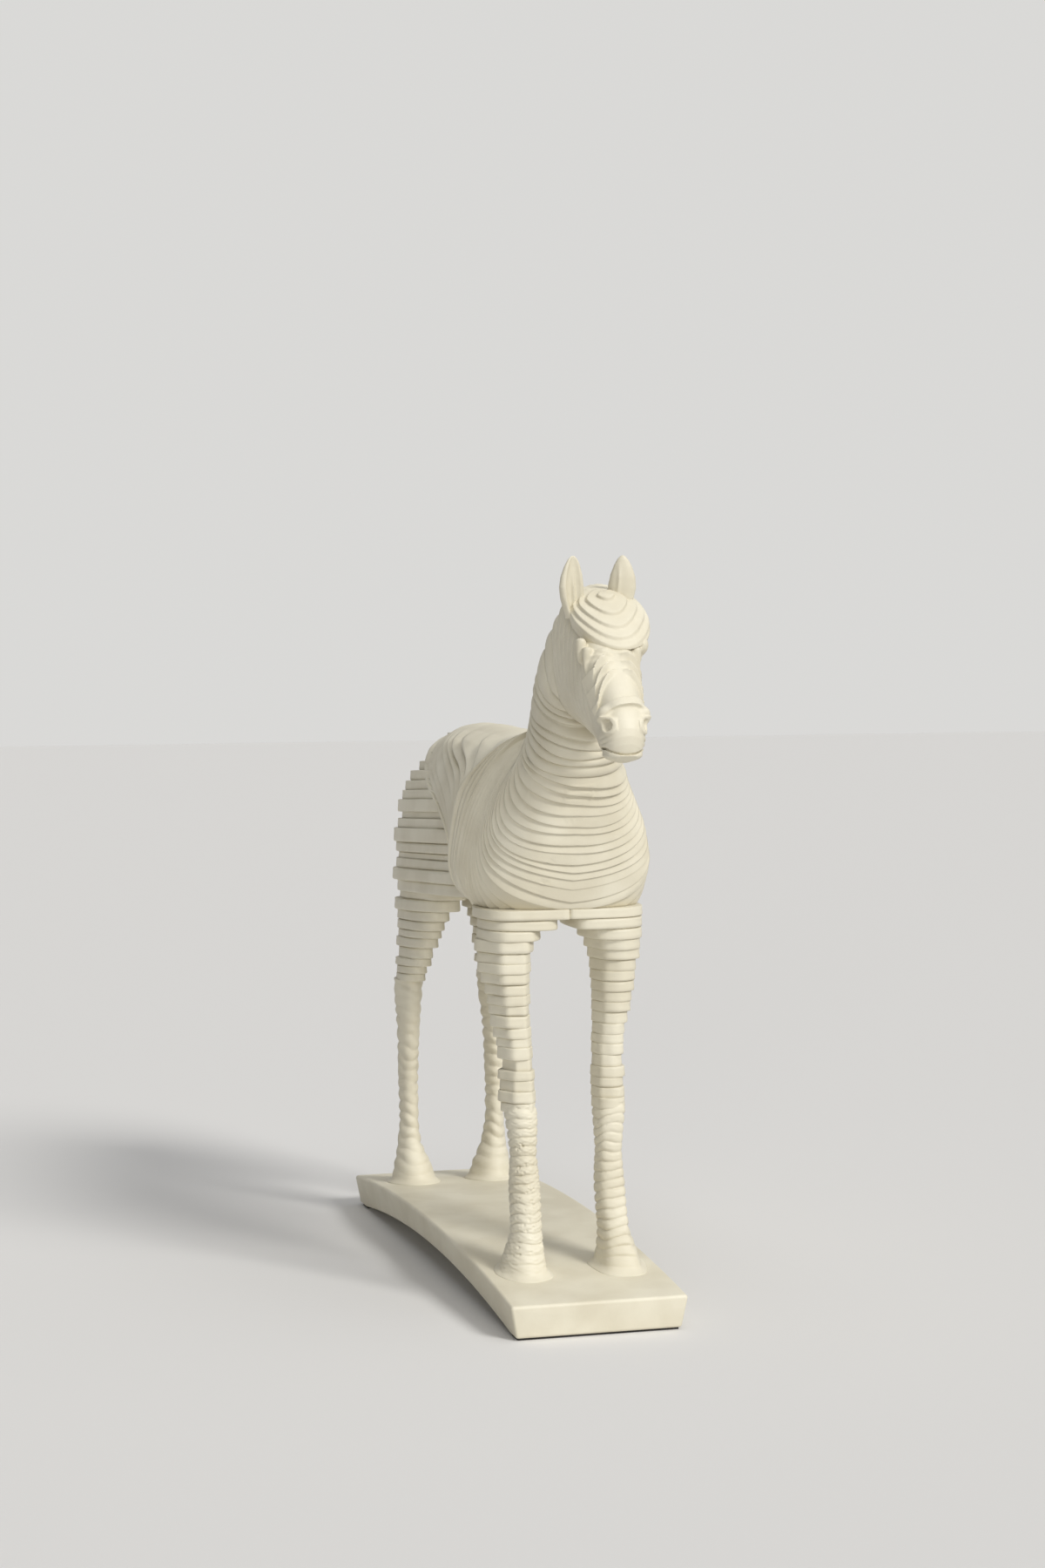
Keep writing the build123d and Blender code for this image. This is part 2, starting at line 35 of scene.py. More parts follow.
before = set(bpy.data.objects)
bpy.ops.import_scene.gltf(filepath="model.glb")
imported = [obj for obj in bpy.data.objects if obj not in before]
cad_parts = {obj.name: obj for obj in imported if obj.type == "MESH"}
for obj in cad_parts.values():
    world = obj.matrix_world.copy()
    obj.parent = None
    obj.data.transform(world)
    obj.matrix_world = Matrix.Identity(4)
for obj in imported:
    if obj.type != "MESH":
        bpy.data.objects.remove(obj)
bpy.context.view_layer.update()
scene = bpy.context.scene
mm = 0.001


def node_box(node):
    """Lowest and highest corner of a node in millimetres."""
    low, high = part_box(node)
    return np.array(low) / mm, np.array(high) / mm


# Meshes
def skin(node, points, faces):
    """Make an object of points in millimetres that stands for a CAD node."""
    name = node + "_cast"
    mesh = bpy.data.meshes.new(name)
    mesh.from_pydata((np.asarray(points) * mm).tolist(), [], faces)
    mesh.validate()
    mesh.polygons.foreach_set("use_smooth", [True] * len(mesh.polygons))
    mesh.update()
    piece = bpy.data.objects.new(name, mesh)
    scene.collection.objects.link(piece)
    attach(piece, "root")
    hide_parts(node)
    mesh.materials.append(resin)


def tube(rings):
    """Points and faces of a closed tube through rings of equally many points."""
    count, around = rings.shape[:2]
    points = rings.reshape(-1, 3)
    index = np.arange(count * around).reshape(count, around)
    low, high = index[:-1], index[1:]
    quads = np.stack([low, np.roll(low, -1, 1), np.roll(high, -1, 1), high], -1).reshape(-1, 4)
    faces = quads.tolist()
    first, last = len(points), len(points) + 1
    points = np.vstack([points, rings[0].mean(0), rings[-1].mean(0)])
    for k in range(around):
        after = (k + 1) % around
        faces.append([int(index[0, after]), int(index[0, k]), first])
        faces.append([int(index[-1, k]), int(index[-1, after]), last])
    return points, faces


def waves(seed, terms, *phases):
    """Smooth noise of about unit height: a sum of waves over the given phases."""
    rng = np.random.default_rng(seed)
    total = 0
    for _ in range(terms):
        angle = rng.uniform(0, 2 * pi)
        for phase in phases:
            angle = angle + phase * rng.integers(-3, 4)
        total = total + np.sin(angle)
    return total / np.sqrt(terms / 2)


def clamp(value):
    return np.clip(value, 0, 1)


def between(table, places):
    """Columns of a station table at given places, with straight lines between the stations."""
    table = np.array(table, float)
    return [np.interp(places, table[:, 0], table[:, k]) for k in range(1, table.shape[1])]


def rounded(angles, half_width, half_depth, power):
    """Outline of a squared ellipse at angles: across and along."""
    across, along = np.cos(angles), np.sin(angles)
    size = (abs(across) ** power + abs(along) ** power) ** (1 / power)
    return half_width * across / size, half_depth * along / size


def faceted(angles, half_width, half_depth, facets, sharpness):
    """Outline of a rounded polygon whose facets touch an ellipse at given angles."""
    total = 0
    for facing, share in facets:
        facing = radians(facing)
        reach = share * np.hypot(half_width * cos(facing), half_depth * sin(facing))
        total = total + np.maximum(np.cos(angles - facing), 0) ** sharpness / reach**sharpness
    size = total ** (-1 / sharpness)
    return size * np.cos(angles), size * np.sin(angles)


def outward(across, along):
    """Outward unit normals of a closed outline that runs anticlockwise."""
    step_x = np.roll(across, -1) - np.roll(across, 1)
    step_y = np.roll(along, -1) - np.roll(along, 1)
    size = np.hypot(step_x, step_y) + 1e-9
    return step_y / size, -step_x / size


# Rows of a slab: place in its height, and how far it is drawn in as a share of the seam's depth
sharp_rows = (
    (0.012, 1), (0.035, 0.4), (0.09, 0), (0.3, 0), (0.5, 0), (0.7, 0), (0.91, 0), (0.965, 0.4),
    (0.988, 1),
)
slab_wall_wave = 0.12
slab_wall_bulge = 0.1


def even_edges(floor, pitch, count, seed, uneven):
    """Heights of a stack's seams, nearly evenly spaced."""
    rng = np.random.default_rng(seed)
    edges = floor + pitch * np.arange(count + 1)
    edges[1:-1] += rng.uniform(-uneven, uneven, count - 1)
    return edges


def slab_tube(outline, edges, around, seed, jitter, seam, gaps, lean, slope=0, pivot=0):
    """Rings of a stack of slabs. outline(height, angles) gives across and along arrays.

    seam is the depth of every seam and gaps what some have beyond it. lean tilts the slabs at
    random, and slope tilts them all about the place pivot.
    """
    rng = np.random.default_rng(seed)
    angles = np.linspace(0, 2 * pi, around, endpoint=False)
    rings = []
    for k in range(len(edges) - 1):
        middle = (edges[k] + edges[k + 1]) / 2
        across, along = outline(middle, angles)
        out_x, out_y = outward(across, along)
        shift = jitter(k, angles, rng)
        wall = slab_wall_wave * waves(seed + 31 * k, 6, angles, angles * 2)
        for share, inset in sharp_rows:
            height = edges[k] + share * (edges[k + 1] - edges[k])
            gap = gaps(k, angles) if share < 0.5 else gaps(k + 1, angles)
            bulge = slab_wall_bulge * sin(2 * pi * share)
            cut = inset * (seam + gap) - (shift + wall * (1 - inset) + bulge)
            tilt = lean * waves(seed + 7 * k, 3, angles) * (1 - abs(2 * share - 1))
            tilt = tilt + slope * (pivot - along)
            x, y = across - out_x * cut, along - out_y * cut
            rings.append(np.stack([x, y, np.full(around, height) + tilt], -1))
    return np.array(rings)


# Materials
def set_inputs(node, values):
    for name, value in values.items():
        node.inputs[name].default_value = value


def grainy(name, dark, light, spread, mottle, grain, bump, roughness, specular, metallic):
    """Material whose colour runs from dark to light over the spread of a noise.

    mottle and grain are the noises of the colour and of the surface: scale and detail. bump is
    the strength and the height in metres of the grain.
    """
    material = bpy.data.materials.new(name)
    material.use_nodes = True
    tree = material.node_tree
    link = tree.links.new
    shader = tree.nodes["Principled BSDF"]
    place = tree.nodes.new("ShaderNodeTexCoord")
    noises = []
    for scale, detail in (mottle, grain):
        noise = tree.nodes.new("ShaderNodeTexNoise")
        set_inputs(noise, {"Scale": scale, "Detail": detail})
        link(place.outputs["Object"], noise.inputs["Vector"])
        noises.append(noise.outputs["Fac"])
    ramp = tree.nodes.new("ShaderNodeValToRGB")
    for element, position, colour in zip(ramp.color_ramp.elements, spread, (dark, light)):
        element.position = position
        element.color = (*colour, 1)
    link(noises[0], ramp.inputs["Fac"])
    link(ramp.outputs["Color"], shader.inputs["Base Color"])
    relief = tree.nodes.new("ShaderNodeBump")
    set_inputs(relief, {"Strength": bump[0], "Distance": bump[1]})
    link(noises[1], relief.inputs["Height"])
    link(relief.outputs["Normal"], shader.inputs["Normal"])
    set_inputs(shader, {"Roughness": roughness, "Specular IOR Level": specular, "Metallic": metallic})
    return material


# Resin: off-white, matt, with faint mottling and a fine grain
resin = grainy(
    "cast_resin", dark=(0.66, 0.61, 0.475), light=(0.74, 0.695, 0.56), spread=(0.36, 0.64),
    mottle=(38, 4), grain=(900, 6), bump=(0.12, 0.0004),
    roughness=0.5, specular=0.35, metallic=0,
)
felt = grainy(
    "felt", dark=(0.021, 0.0189, 0.0168), light=(0.0375, 0.03375, 0.03), spread=(0, 1),
    mottle=(1400, 5), grain=(1400, 5), bump=(0.5, 0.0003),
    roughness=0.95, specular=0.5, metallic=0,
)
steel = grainy(
    "steel", dark=(0.315, 0.315, 0.322), light=(0.5625, 0.5625, 0.575), spread=(0, 1),
    mottle=(600, 5), grain=(600, 5), bump=(0.5, 0.00002),
    roughness=0.35, specular=0.5, metallic=1,
)

# Legs, front ones first: height, middle across, half width, middle along, half depth
fore_stack = (
    (97, 22, 7.7, -92, 9.9), (105, 22, 8, -91, 10.2), (116, 21.8, 6.8, -90, 9.5),
    (127, 23, 7.4, -88.5, 10.5), (138, 24.6, 8.6, -87.5, 12), (147, 25.2, 9.2, -87, 12.5),
    (155, 25.8, 10, -86, 14), (164, 26.8, 11.2, -85, 16), (171, 26.4, 12.6, -84, 18),
    (177, 24.3, 14.4, -84, 18), (180, 21.6, 16.8, -83.5, 18.5), (184, 19.7, 19.9, -83, 19),
    (189, 19.6, 19.9, -82.5, 19.5),
)
thigh_stack = (
    (129.4, 22.3, 6.5, 108, 14), (140, 21.4, 7, 102.5, 21), (146, 20.8, 7.4, 100, 25),
    (153, 20.2, 8, 96.5, 29), (159, 19.8, 8.8, 94.5, 33.5), (162.5, 19.3, 9.3, 93, 37),
    (165.8, 18.9, 10.2, 91.5, 40.5), (168.8, 18.4, 11.2, 88, 44.5), (172.7, 16.6, 12.8, 83.5, 47),
)
# Facets of the front slabs: facing in degrees, and reach as a share of the leg's
near_facets = ((207, 0.97), (264, 0.95), (2, 0.97), (90, 0.95), (150, 0.98), (330, 1.02))
off_facets = (
    (240, 0.93), (275, 0.96), (195, 0.93), (145, 0.93), (300, 0.99), (350, 0.96), (90, 0.95),
    (35, 1), (318, 1.04),
)
facet_sharpness = 14
# The faceted leg turns into the rounded shoulder between two heights, and the shoulder's inner
# side turns flat between two others
shoulder_low, shoulder_blend = 172, 10
flat_low, flat_blend = 180, 6
shoulder_power, flat_power = 2.7, 20


def fore_outline(side, facets):
    def outline(height, angles):
        middle, half_width, along, half_depth = between(fore_stack, height)
        blend = min(max((height - shoulder_low) / shoulder_blend, 0), 1)
        leg_x, leg_y = faceted(angles, half_width, half_depth, facets, facet_sharpness)
        inner = clamp(0.5 - 4 * side * np.cos(angles))
        inner = inner * clamp((height - flat_low) / flat_blend)
        body_x, body_y = rounded(angles, half_width, half_depth, shoulder_power + flat_power * inner)
        x = leg_x + (body_x - leg_x) * blend
        y = leg_y + (body_y - leg_y) * blend
        return side * middle + x, along + y

    return outline


fore_uneven = 0.95
fore_wavy = 0.3


def fore_jitter(facing):
    """How far each slab stands out at random, most on the side that faces the camera."""

    def jitter(k, angles, rng):
        bold = 0.25 + 0.75 * np.maximum(np.cos(angles - radians(facing)), 0)
        own = rng.uniform(-fore_uneven, fore_uneven)
        return bold * (own + fore_wavy * waves(int(rng.integers(1000)), 4, angles))

    return jitter


def open_seams(windows):
    """Deeper seams where windows say: slab number, facing and half width in degrees, depth."""

    def gaps(k, angles):
        depth = np.zeros_like(angles)
        for below, facing, width, deep in windows:
            if below == k:
                turn = (angles - radians(facing) + pi) % (2 * pi) - pi
                depth = np.maximum(depth, deep * np.exp(-((turn / radians(width)) ** 4)))
        return depth

    return gaps


near_fore_windows = (
    (1, 215, 60, 1), (7, 220, 25, 0.6), (8, 235, 30, 0.7), (9, 250, 55, 1.3), (11, 220, 25, 0.9),
    (12, 245, 60, 1.4), (15, 250, 60, 1), (17, 250, 60, 1), (18, 240, 80, 1.4),
)
off_fore_windows = (
    (2, 270, 50, 0.8), (9, 275, 45, 0.8), (12, 275, 45, 1), (14, 280, 45, 0.9), (17, 280, 60, 1.2),
    (18, 280, 60, 1.3),
)
slab_thickness = 4.8
# How far the lowest slab reaches down over the shank
fore_foot = 3.4
for name, side, facets, facing, windows, seed in (
    ("near_fore_slabs", -1, near_facets, 205, near_fore_windows, 11),
    ("off_fore_slabs", 1, off_facets, 290, off_fore_windows, 23),
):
    low, high = node_box(name)
    count = round((high[2] - low[2]) / slab_thickness)
    pitch = (high[2] - low[2] + fore_foot) / count
    edges = even_edges(low[2] - fore_foot, pitch, count, seed, uneven=0.5)
    rings = slab_tube(
        fore_outline(side, facets), edges, around=128, seed=seed, seam=0.4, lean=0.35,
        jitter=fore_jitter(facing), gaps=open_seams(windows),
    )
    skin(name, *tube(rings))


thigh_power = 2.5


def thigh_outline(side):
    def outline(height, angles):
        middle, half_width, along, half_depth = between(thigh_stack, height)
        x, y = rounded(angles, half_width, half_depth, thigh_power)
        return side * middle + x, along + y

    return outline


def slab_shift(shifts, unevenness):
    """How far each slab stands out, in turn, with a little unevenness of its own."""

    def shift(k, angles, rng):
        return shifts[k] + unevenness * waves(int(rng.integers(1000)), 5, angles)

    return shift


# The hind slabs rise to the front about the hind legs
hind_floor = 127
hind_y = 110
hind_turn = radians(4.6)
hind_slope = tan(hind_turn)
hind_rise = slab_thickness / cos(hind_turn)
hind_count = 10


def hind_stack(name, outline, edges, around, seed, seam, lean, shifts, unevenness, windows):
    """Make a stack of slabs that rise to the front about the hind legs."""
    jitter, gaps = slab_shift(shifts, unevenness), open_seams(windows)
    rings = slab_tube(outline, edges, around, seed, jitter, seam, gaps, lean, hind_slope, hind_y)
    skin(name, *tube(rings))


thigh_windows = (
    (1, 215, 50, 0.9), (2, 200, 60, 1.1), (3, 240, 60, 0.6), (4, 230, 70, 1.3), (5, 205, 60, 0.8),
    (6, 220, 70, 1.3), (7, 200, 80, 1.4), (8, 240, 60, 0.9), (9, 215, 70, 1.3),
)
thigh_shifts = (0.3, -0.5, 0.4, -0.9, 0.4, -0.3, 0.3, 0.1, 0.6, -0.8)
thigh_edges = (hind_floor, 131.2, 135.4, 139.6, 145.4, 150.6, 154.7, 159.7, 165, 171.1, 175.2)
for name, side, seed in (("near_hind_slabs", -1, 37), ("off_hind_slabs", 1, 41)):
    hind_stack(
        name, thigh_outline(side), thigh_edges, around=160, seed=seed, seam=0.4, lean=0.3,
        shifts=thigh_shifts, unevenness=0.3, windows=thigh_windows,
    )

# Rump and flanks: height, half width, rear reach
rump_stack = (
    (175, 32, 138.5), (181, 33.2, 142), (190, 33, 143), (200, 33.4, 144), (208, 32.8, 142.5),
    (216, 31.4, 139.5), (223, 30.6, 137), (228, 29.6, 133), (233, 28.2, 128.5), (238, 25.6, 122.5),
    (243, 20.5, 111), (250, 13.5, 101), (257, 7, 94),
)
# The saddle's lower edge runs from the flank to the rim. The slabs reach under it and are
# a little narrower there
flank_y, flank_z = -28, 200
rim_y, rim_z = 100, 257
under_rim = 44
belly_front = -36
tuck_start, tuck_length, tuck_share = 8, 12, 0.05
front_power, rear_power = 5, 2.7


def rump_outline(height, angles):
    half_width, rear = between(rump_stack, height)
    rim_slope = (rim_z - flank_z) / (rim_y - flank_y)
    rim_here = (height + hind_slope * hind_y - flank_z + rim_slope * flank_y) / (rim_slope + hind_slope)
    front = max(rim_here - under_rim, belly_front)
    power = np.where(np.sin(angles) < 0, front_power, rear_power)
    x, y = rounded(angles, half_width, (rear - front) / 2, power)
    y = (rear + front) / 2 + y
    tuck = clamp((rim_here - tuck_start - y) / tuck_length)
    return x * (1 - tuck_share * tuck), y


rump_windows = (
    (1, 215, 50, 1.2), (2, 215, 70, 1.3), (3, 212, 24, 1.5), (4, 200, 50, 1.6), (5, 200, 50, 1.6),
    (6, 222, 16, 1.5), (7, 228, 14, 1.4), (11, 160, 20, 0.7),
)
rump_shifts = (0.8, 1.8, 0.2, -1.2, 0, 1.1, 0, -1.7, 0.9, -0.3, -0.9, -0.5, -1, 0, 0, 0)
# Heights of the seams at hind_y
rump_edges = (
    175.2, 181, 187.3, 192.4, 195.6, 200.8, 208.1, 213, 216.4,
    222.9, 227.7, 232.7, 237.9, 242.7, 247.5, 252.3, 257.1,
)
hind_stack(
    "hindquarters", rump_outline, rump_edges, around=220, seed=53, seam=0.3, lean=0.25,
    shifts=rump_shifts, unevenness=0.25, windows=rump_windows,
)

# Tail: short slabs against the rump
tail_count = 14
tail_floor = hind_floor + hind_count * hind_rise + (hind_count - tail_count) * hind_rise
tail_top = tail_floor + tail_count * hind_rise
tail_line = ((153, 130), (165, 134), (175, 139), (190, 143.5), (204, 144.5), (218, 140.5), (225, 137.5))
tail_shifts = (0.3, -0.2, 0.2, 0.4, -0.3, 0.1, 0.3, -0.2, 0.2, 0, -0.3, 0.3, 0.1, 0)


def tail_outline(height, angles):
    share = (tail_top - height) / (tail_top - tail_floor)
    size = 3.6 + 2.4 * sin(pi * share)
    (rear,) = between(tail_line, height)
    x, y = rounded(angles, size, size, 2)
    return x, rear + 0.2 * size + y


tail_edges = even_edges(tail_floor, hind_rise, tail_count, seed=59, uneven=0.3)
hind_stack(
    "tail", tail_outline, tail_edges, around=48, seed=59, seam=0.4, lean=0.2,
    shifts=tail_shifts, unevenness=0.12, windows=(),
)

# Saddle: pages turned about the flank, each lifted at its rear edge
back_line = (
    (-80, 268.4), (-62, 267.4), (-39, 266), (-15, 266.4), (10, 266.8), (43, 266.2), (66, 264.2),
    (78, 262.2), (90, 259.6), (102, 256.8), (115, 252.6), (140, 243),
)
pivot_y, pivot_z = -29, 197
# Edges of the pages from the rear: place round the section in degrees (90 is the crest and 180
# the flank), and the edge's turn about the pivot
page_edges = (
    ((90, 22.5), (125, 22.2), (134, 23.2), (140, 24), (145, 25.6), (149, 28), (152, 31.2),
     (156, 34.8), (160, 39), (163, 46), (168, 56), (180, 66)),
    ((90, 26), (118, 27.6), (122, 27.2), (129, 25.8), (134, 26), (138, 26.8), (142, 28.4),
     (148, 31.5), (152, 35.5), (156, 41), (160, 50), (164, 57), (172, 67), (180, 72)),
    ((90, 28.6), (118, 29.8), (122, 29.8), (130, 28.6), (134, 28.8), (138, 30.2), (142, 32.4),
     (148, 37.5), (152, 42.5), (156, 48), (160, 54), (168, 64), (180, 74)),
    ((90, 31.2), (118, 33), (122, 32.8), (130, 32), (134, 32.6), (140, 35.4), (144, 39),
     (148, 44.2), (152, 50), (156, 55.5), (160, 60), (168, 69), (180, 78)),
    ((90, 34.2), (118, 35.2), (124, 35.6), (127, 36.8), (132, 39.8), (138, 45), (142, 51),
     (146, 58), (149, 64), (152, 69), (160, 75), (180, 83)),
    ((90, 38), (118, 39), (122, 39.3), (126, 41), (130, 44.6), (134, 50), (138, 57), (142, 66),
     (144, 70.5), (150, 78), (160, 84), (180, 90)),
    ((90, 43), (120, 44.4), (126, 46.2), (130, 50), (132, 56), (136, 66), (138, 76), (142, 84),
     (150, 90), (180, 96)),
    ((90, 52.5), (119, 53.4), (122, 53.8), (126, 57), (128, 63.5), (132, 75), (134, 81.5),
     (137, 88), (145, 94), (180, 100)),
    ((90, 75), (115, 78.4), (119, 80), (123, 83.2), (126, 87.4), (130, 92), (136, 97), (145, 101),
     (180, 105)),
    ((90, 96), (116, 99.6), (118, 101.2), (120, 103), (126, 106), (135, 108), (180, 112)),
    ((90, 121.7), (128, 121.7), (150, 131), (180, 142)),
)
page_lifts = (2.6, 1.6, 1.9, 2.5, 3.2, 4.2, 4.8, 5, 4, 2.2)
# Rows of a page: place from its rear edge, and share of its lift. The rearmost page is a bead
# with a groove in front of it
page_rows = (
    (0, 0), (0.004, 0.45), (0.012, 0.9), (0.03, 1), (0.12, 0.95), (0.3, 0.8), (0.46, 0.6),
    (0.64, 0.36), (0.82, 0.14), (0.95, 0.02),
)
bead_rows = (
    (0, 0.15), (0.04, 0.6), (0.1, 0.85), (0.18, 0.97), (0.28, 1), (0.38, 0.93), (0.47, 0.72),
    (0.54, 0.4), (0.6, 0.1), (0.7, -0.05), (0.85, -0.05),
)
# Share of the lift by place round the section, and how much more of it the bead has
lift_shares = ((90, 0.1), (108, 0.22), (121, 1), (150, 0.95), (166, 0.5), (178, 0))
bead_more = 0.35
# Half width and squareness of the section by turn about the pivot
saddle_widths = ((22, 35.4), (45, 36.4), (75, 37), (122, 37.6))
saddle_powers = ((22, 1.95), (60, 2), (90, 2.2), (122, 2.3))
# Depth of the hidden underside, and the share of the lift that widens the section
under_depth = 4
lift_aside = 0.4


def back_reach(turn):
    """Distance from the pivot to the back's line at an angle above the horizontal."""
    reach = np.linspace(40, 170, 1301)
    y = pivot_y + reach * cos(turn)
    z = pivot_z + reach * sin(turn)
    return float(np.interp(0, z - between(back_line, y)[0], reach))


def soft_edge(edge, count=7):
    """Running mean of a page's edge, which goes once round the section."""
    half = count // 2
    return np.convolve(np.concatenate([edge[-half:], edge, edge[:half]]), np.ones(count) / count, "valid")


def saddle_rings(around):
    spots = np.linspace(0, 2 * pi, around, endpoint=False) + pi / around
    high = clamp(np.sin(spots))
    # The place is the same on both sides, and 180 all along the hidden underside
    place = 90 + np.where(np.sin(spots) > 0, abs(90 - np.degrees(spots)), 90)
    grip = between(lift_shares, place)[0]
    known = np.linspace(20, 124, 209)
    reaches = np.array([back_reach(radians(turn)) for turn in known])
    edges = [soft_edge(between(edge, place)[0]) for edge in page_edges]
    rings = []
    for page, (start, end) in enumerate(zip(edges, edges[1:])):
        for share, lift in page_rows if page else bead_rows:
            turned = start + share * (end - start)
            reach = np.interp(turned, known, reaches)
            half_width = between(saddle_widths, turned)[0]
            power = between(saddle_powers, turned)[0]
            across, out = rounded(spots, half_width, reach, power)
            out = np.where(out < 0, out * under_depth / reach, out)
            rise = page_lifts[page] * lift * grip
            if page == 0:
                rise = page_lifts[0] * lift * clamp(bead_more + grip) * (high > 0)
            across = across + rise * np.cos(spots) * lift_aside
            out = out + rise * (0.25 + 0.75 * high) * (high > 0)
            turned = np.radians(turned)
            y, z = pivot_y + out * np.cos(turned), pivot_z + out * np.sin(turned)
            rings.append(np.stack([across, y, z], -1))
    return np.array(rings)


skin("saddle", *tube(saddle_rings(260)))

# Girth, shoulders and neck: slices that fan round the withers. Each station gives the upper
# end (y, z), the lower end (y, z), the half width, how much wider the slice is below, and how
# many slices lie between it and the next.
fan = (
    (-70, 267.8, -30, 184.5, 40.4, 0.1, 3),
    (-70.5, 269, -52, 181, 41, 0.22, 4),
    (-71, 270, -72, 174, 41, 0.3, 4),
    (-71.5, 271, -90.5, 176, 39.6, 0.38, 4),
    (-72, 272, -102.5, 190, 36.8, 0.5, 4),
    (-72.5, 273, -107.5, 209.5, 31.8, 0.64, 3),
    (-73.3, 274.6, -111, 224, 27.2, 0.66, 3),
    (-74.2, 276.4, -115, 238, 23.4, 0.58, 3),
    (-75.2, 279, -121, 250, 21.4, 0.42, 2),
    (-76.2, 282.5, -127, 259, 20.2, 0.28, 2),
    (-77.7, 287, -130, 267, 19.2, 0.18, 1),
    (-79.7, 293.5, -127.5, 274.5, 18, 0.1, 2),
    (-84.2, 303.2, -125.5, 279.5, 16.6, 0.05, 1),
    (-91.2, 314, -124.5, 282.5, 15.2, 0.02, 1),
    (-101, 325, -124, 285.5, 13.4, 0, 2),
    (-116, 335.5, -124.5, 288.5, 11.2, 0, 1),
)
fan_table = np.array(fan)
# Rows of a slice: place in it, and how far it is drawn in as a share of the ripples' depth
lapped_rows = (
    (0, 0.85), (0.02, 0.4), (0.05, 0.12), (0.1, 0), (0.18, 0.03), (0.32, 0.18), (0.48, 0.38),
    (0.64, 0.6), (0.8, 0.82), (0.92, 0.96), (0.99, 1),
)
round_rows = (
    (0, 0.95), (0.05, 0.6), (0.13, 0.28), (0.24, 0.07), (0.38, 0), (0.52, 0.02), (0.66, 0.14),
    (0.79, 0.36), (0.9, 0.7), (0.97, 0.97),
)
band_rows = (
    (0, 1), (0.01, 0.3), (0.04, 0), (0.1, 0), (0.16, 0.25), (0.2, 0.75), (0.24, 0.5), (0.33, 0.2),
    (0.41, 0.4), (0.45, 0.95), (0.49, 0.6), (0.57, 0.3), (0.65, 0.5), (0.69, 1), (0.73, 0.7),
    (0.84, 0.45), (0.94, 0.6), (1, 1.1),
)
# The same for the sides of lapped slices, which are narrow ridges there
ridge_rows = (
    (0, 0.35), (0.05, 0.08), (0.1, 0), (0.18, 0.15), (0.32, 0.55), (0.48, 0.85), (0.64, 1),
    (0.8, 0.97), (0.92, 0.75), (1, 0.45),
)
# How far the band's rear edge swings back at a height
band_swing = ((184, 0), (212, 0), (220, 3), (229, 6), (239, 10), (247, 9), (253, 4.5), (260, 2), (268, 0))
# Squareness of the slices' lower half, by place in the fan, and of their upper half
lower_powers = ((0, 2.8), (1.5, 2.6), (3, 2.2))
upper_power = 2.2
# Random swelling of a whole piece, how fast the slices' wandering changes from one to the next,
# and how far each wanders by itself
swell_height = 0.3
bend_step, bend_own = 0.2, 0.09
# Deepest groove as a share of the slice's thickness: in front, what the sides have beyond it, and
# in the band
groove_share, flank_share, band_share = 0.5, 0.15, 0.3


def fan_section(place, spots, grow=0):
    """Points of the slice's outline at a place in the fan, moved outward by grow."""
    places = np.arange(len(fan_table))
    columns = fan_table[:, :6].T
    up_y, up_z, low_y, low_z, half_width, egg = (np.interp(place, places, row) for row in columns)
    half_long = np.hypot(low_y - up_y, low_z - up_z) / 2
    power = np.where(np.sin(spots) > 0, between(lower_powers, place)[0], upper_power)
    across, along = rounded(spots, half_width, half_long, power)
    across = across * (1 + egg * along / half_long)
    out_x, out_y = outward(across, along)
    across = across + out_x * grow
    along = (along + out_y * grow) / (2 * half_long)
    y = (low_y + up_y) / 2 + along * (low_y - up_y)
    z = (low_z + up_z) / 2 + along * (low_z - up_z)
    swing = between(band_swing, z)[0] * clamp(1 - place)
    return np.stack([across, y + swing, z], -1)


def fan_rings(first, last, around, depths, rows, seed, whole=False, wander=0, raised=0):
    """Rings of the slices from one station to another.

    depths are the grooves' at the first and last station. whole makes one slice of it all.
    """
    marks = []
    for station in range(first, last):
        count = 1 if whole else int(fan_table[station, 6])
        marks += [station + k / count for k in range(count)]
    marks.append(last)
    spots = np.linspace(0, 2 * pi, around, endpoint=False)
    swell = swell_height * waves(seed + 900, 4, spots)
    aside = 0.25 + 0.75 * abs(np.cos(spots))
    # Only the lapped slices turn into ridges at the sides
    flank = clamp((abs(np.cos(spots)) - 0.7) / 0.2) * (rows is lapped_rows)

    def bend(k):
        if k == 0 or k == len(marks) - 1 or whole:
            return 0 * spots
        shared = waves(seed + 5, 7, spots, bend_step * k)
        return wander * aside * shared + bend_own * waves(seed + 5 * k, 4, spots)

    rings = []
    for k, (start, end) in enumerate(zip(marks, marks[1:])):
        low_bend, high_bend = bend(k), bend(k + 1)
        strength = np.clip(0.9 + 0.4 * waves(seed + 3 * k, 4, spots), 0.25, 1.5)
        strength = strength * (0.75 + 0.4 * aside)
        pitch = np.linalg.norm(fan_section(end, spots) - fan_section(start, spots), axis=-1)
        limit = band_share if whole else groove_share + flank_share * flank
        for share, groove in rows:
            place = start + (end - start) * (share + low_bend * (1 - share) + high_bend * share)
            part = start + share * (end - start)
            deep = np.interp(part, [first, last], depths) * strength
            deep = np.minimum(deep, limit * pitch)
            groove = groove + (between(ridge_rows, share)[0] - groove) * flank
            rings.append(fan_section(place, spots, swell + raised - groove * deep))
    return np.array(rings)


def flatten_below(rings, floor):
    """Bring the part of a tube under the forelegs' top up to it."""
    rings = rings.copy()
    rings[..., 2] = np.maximum(rings[..., 2], floor)
    return rings


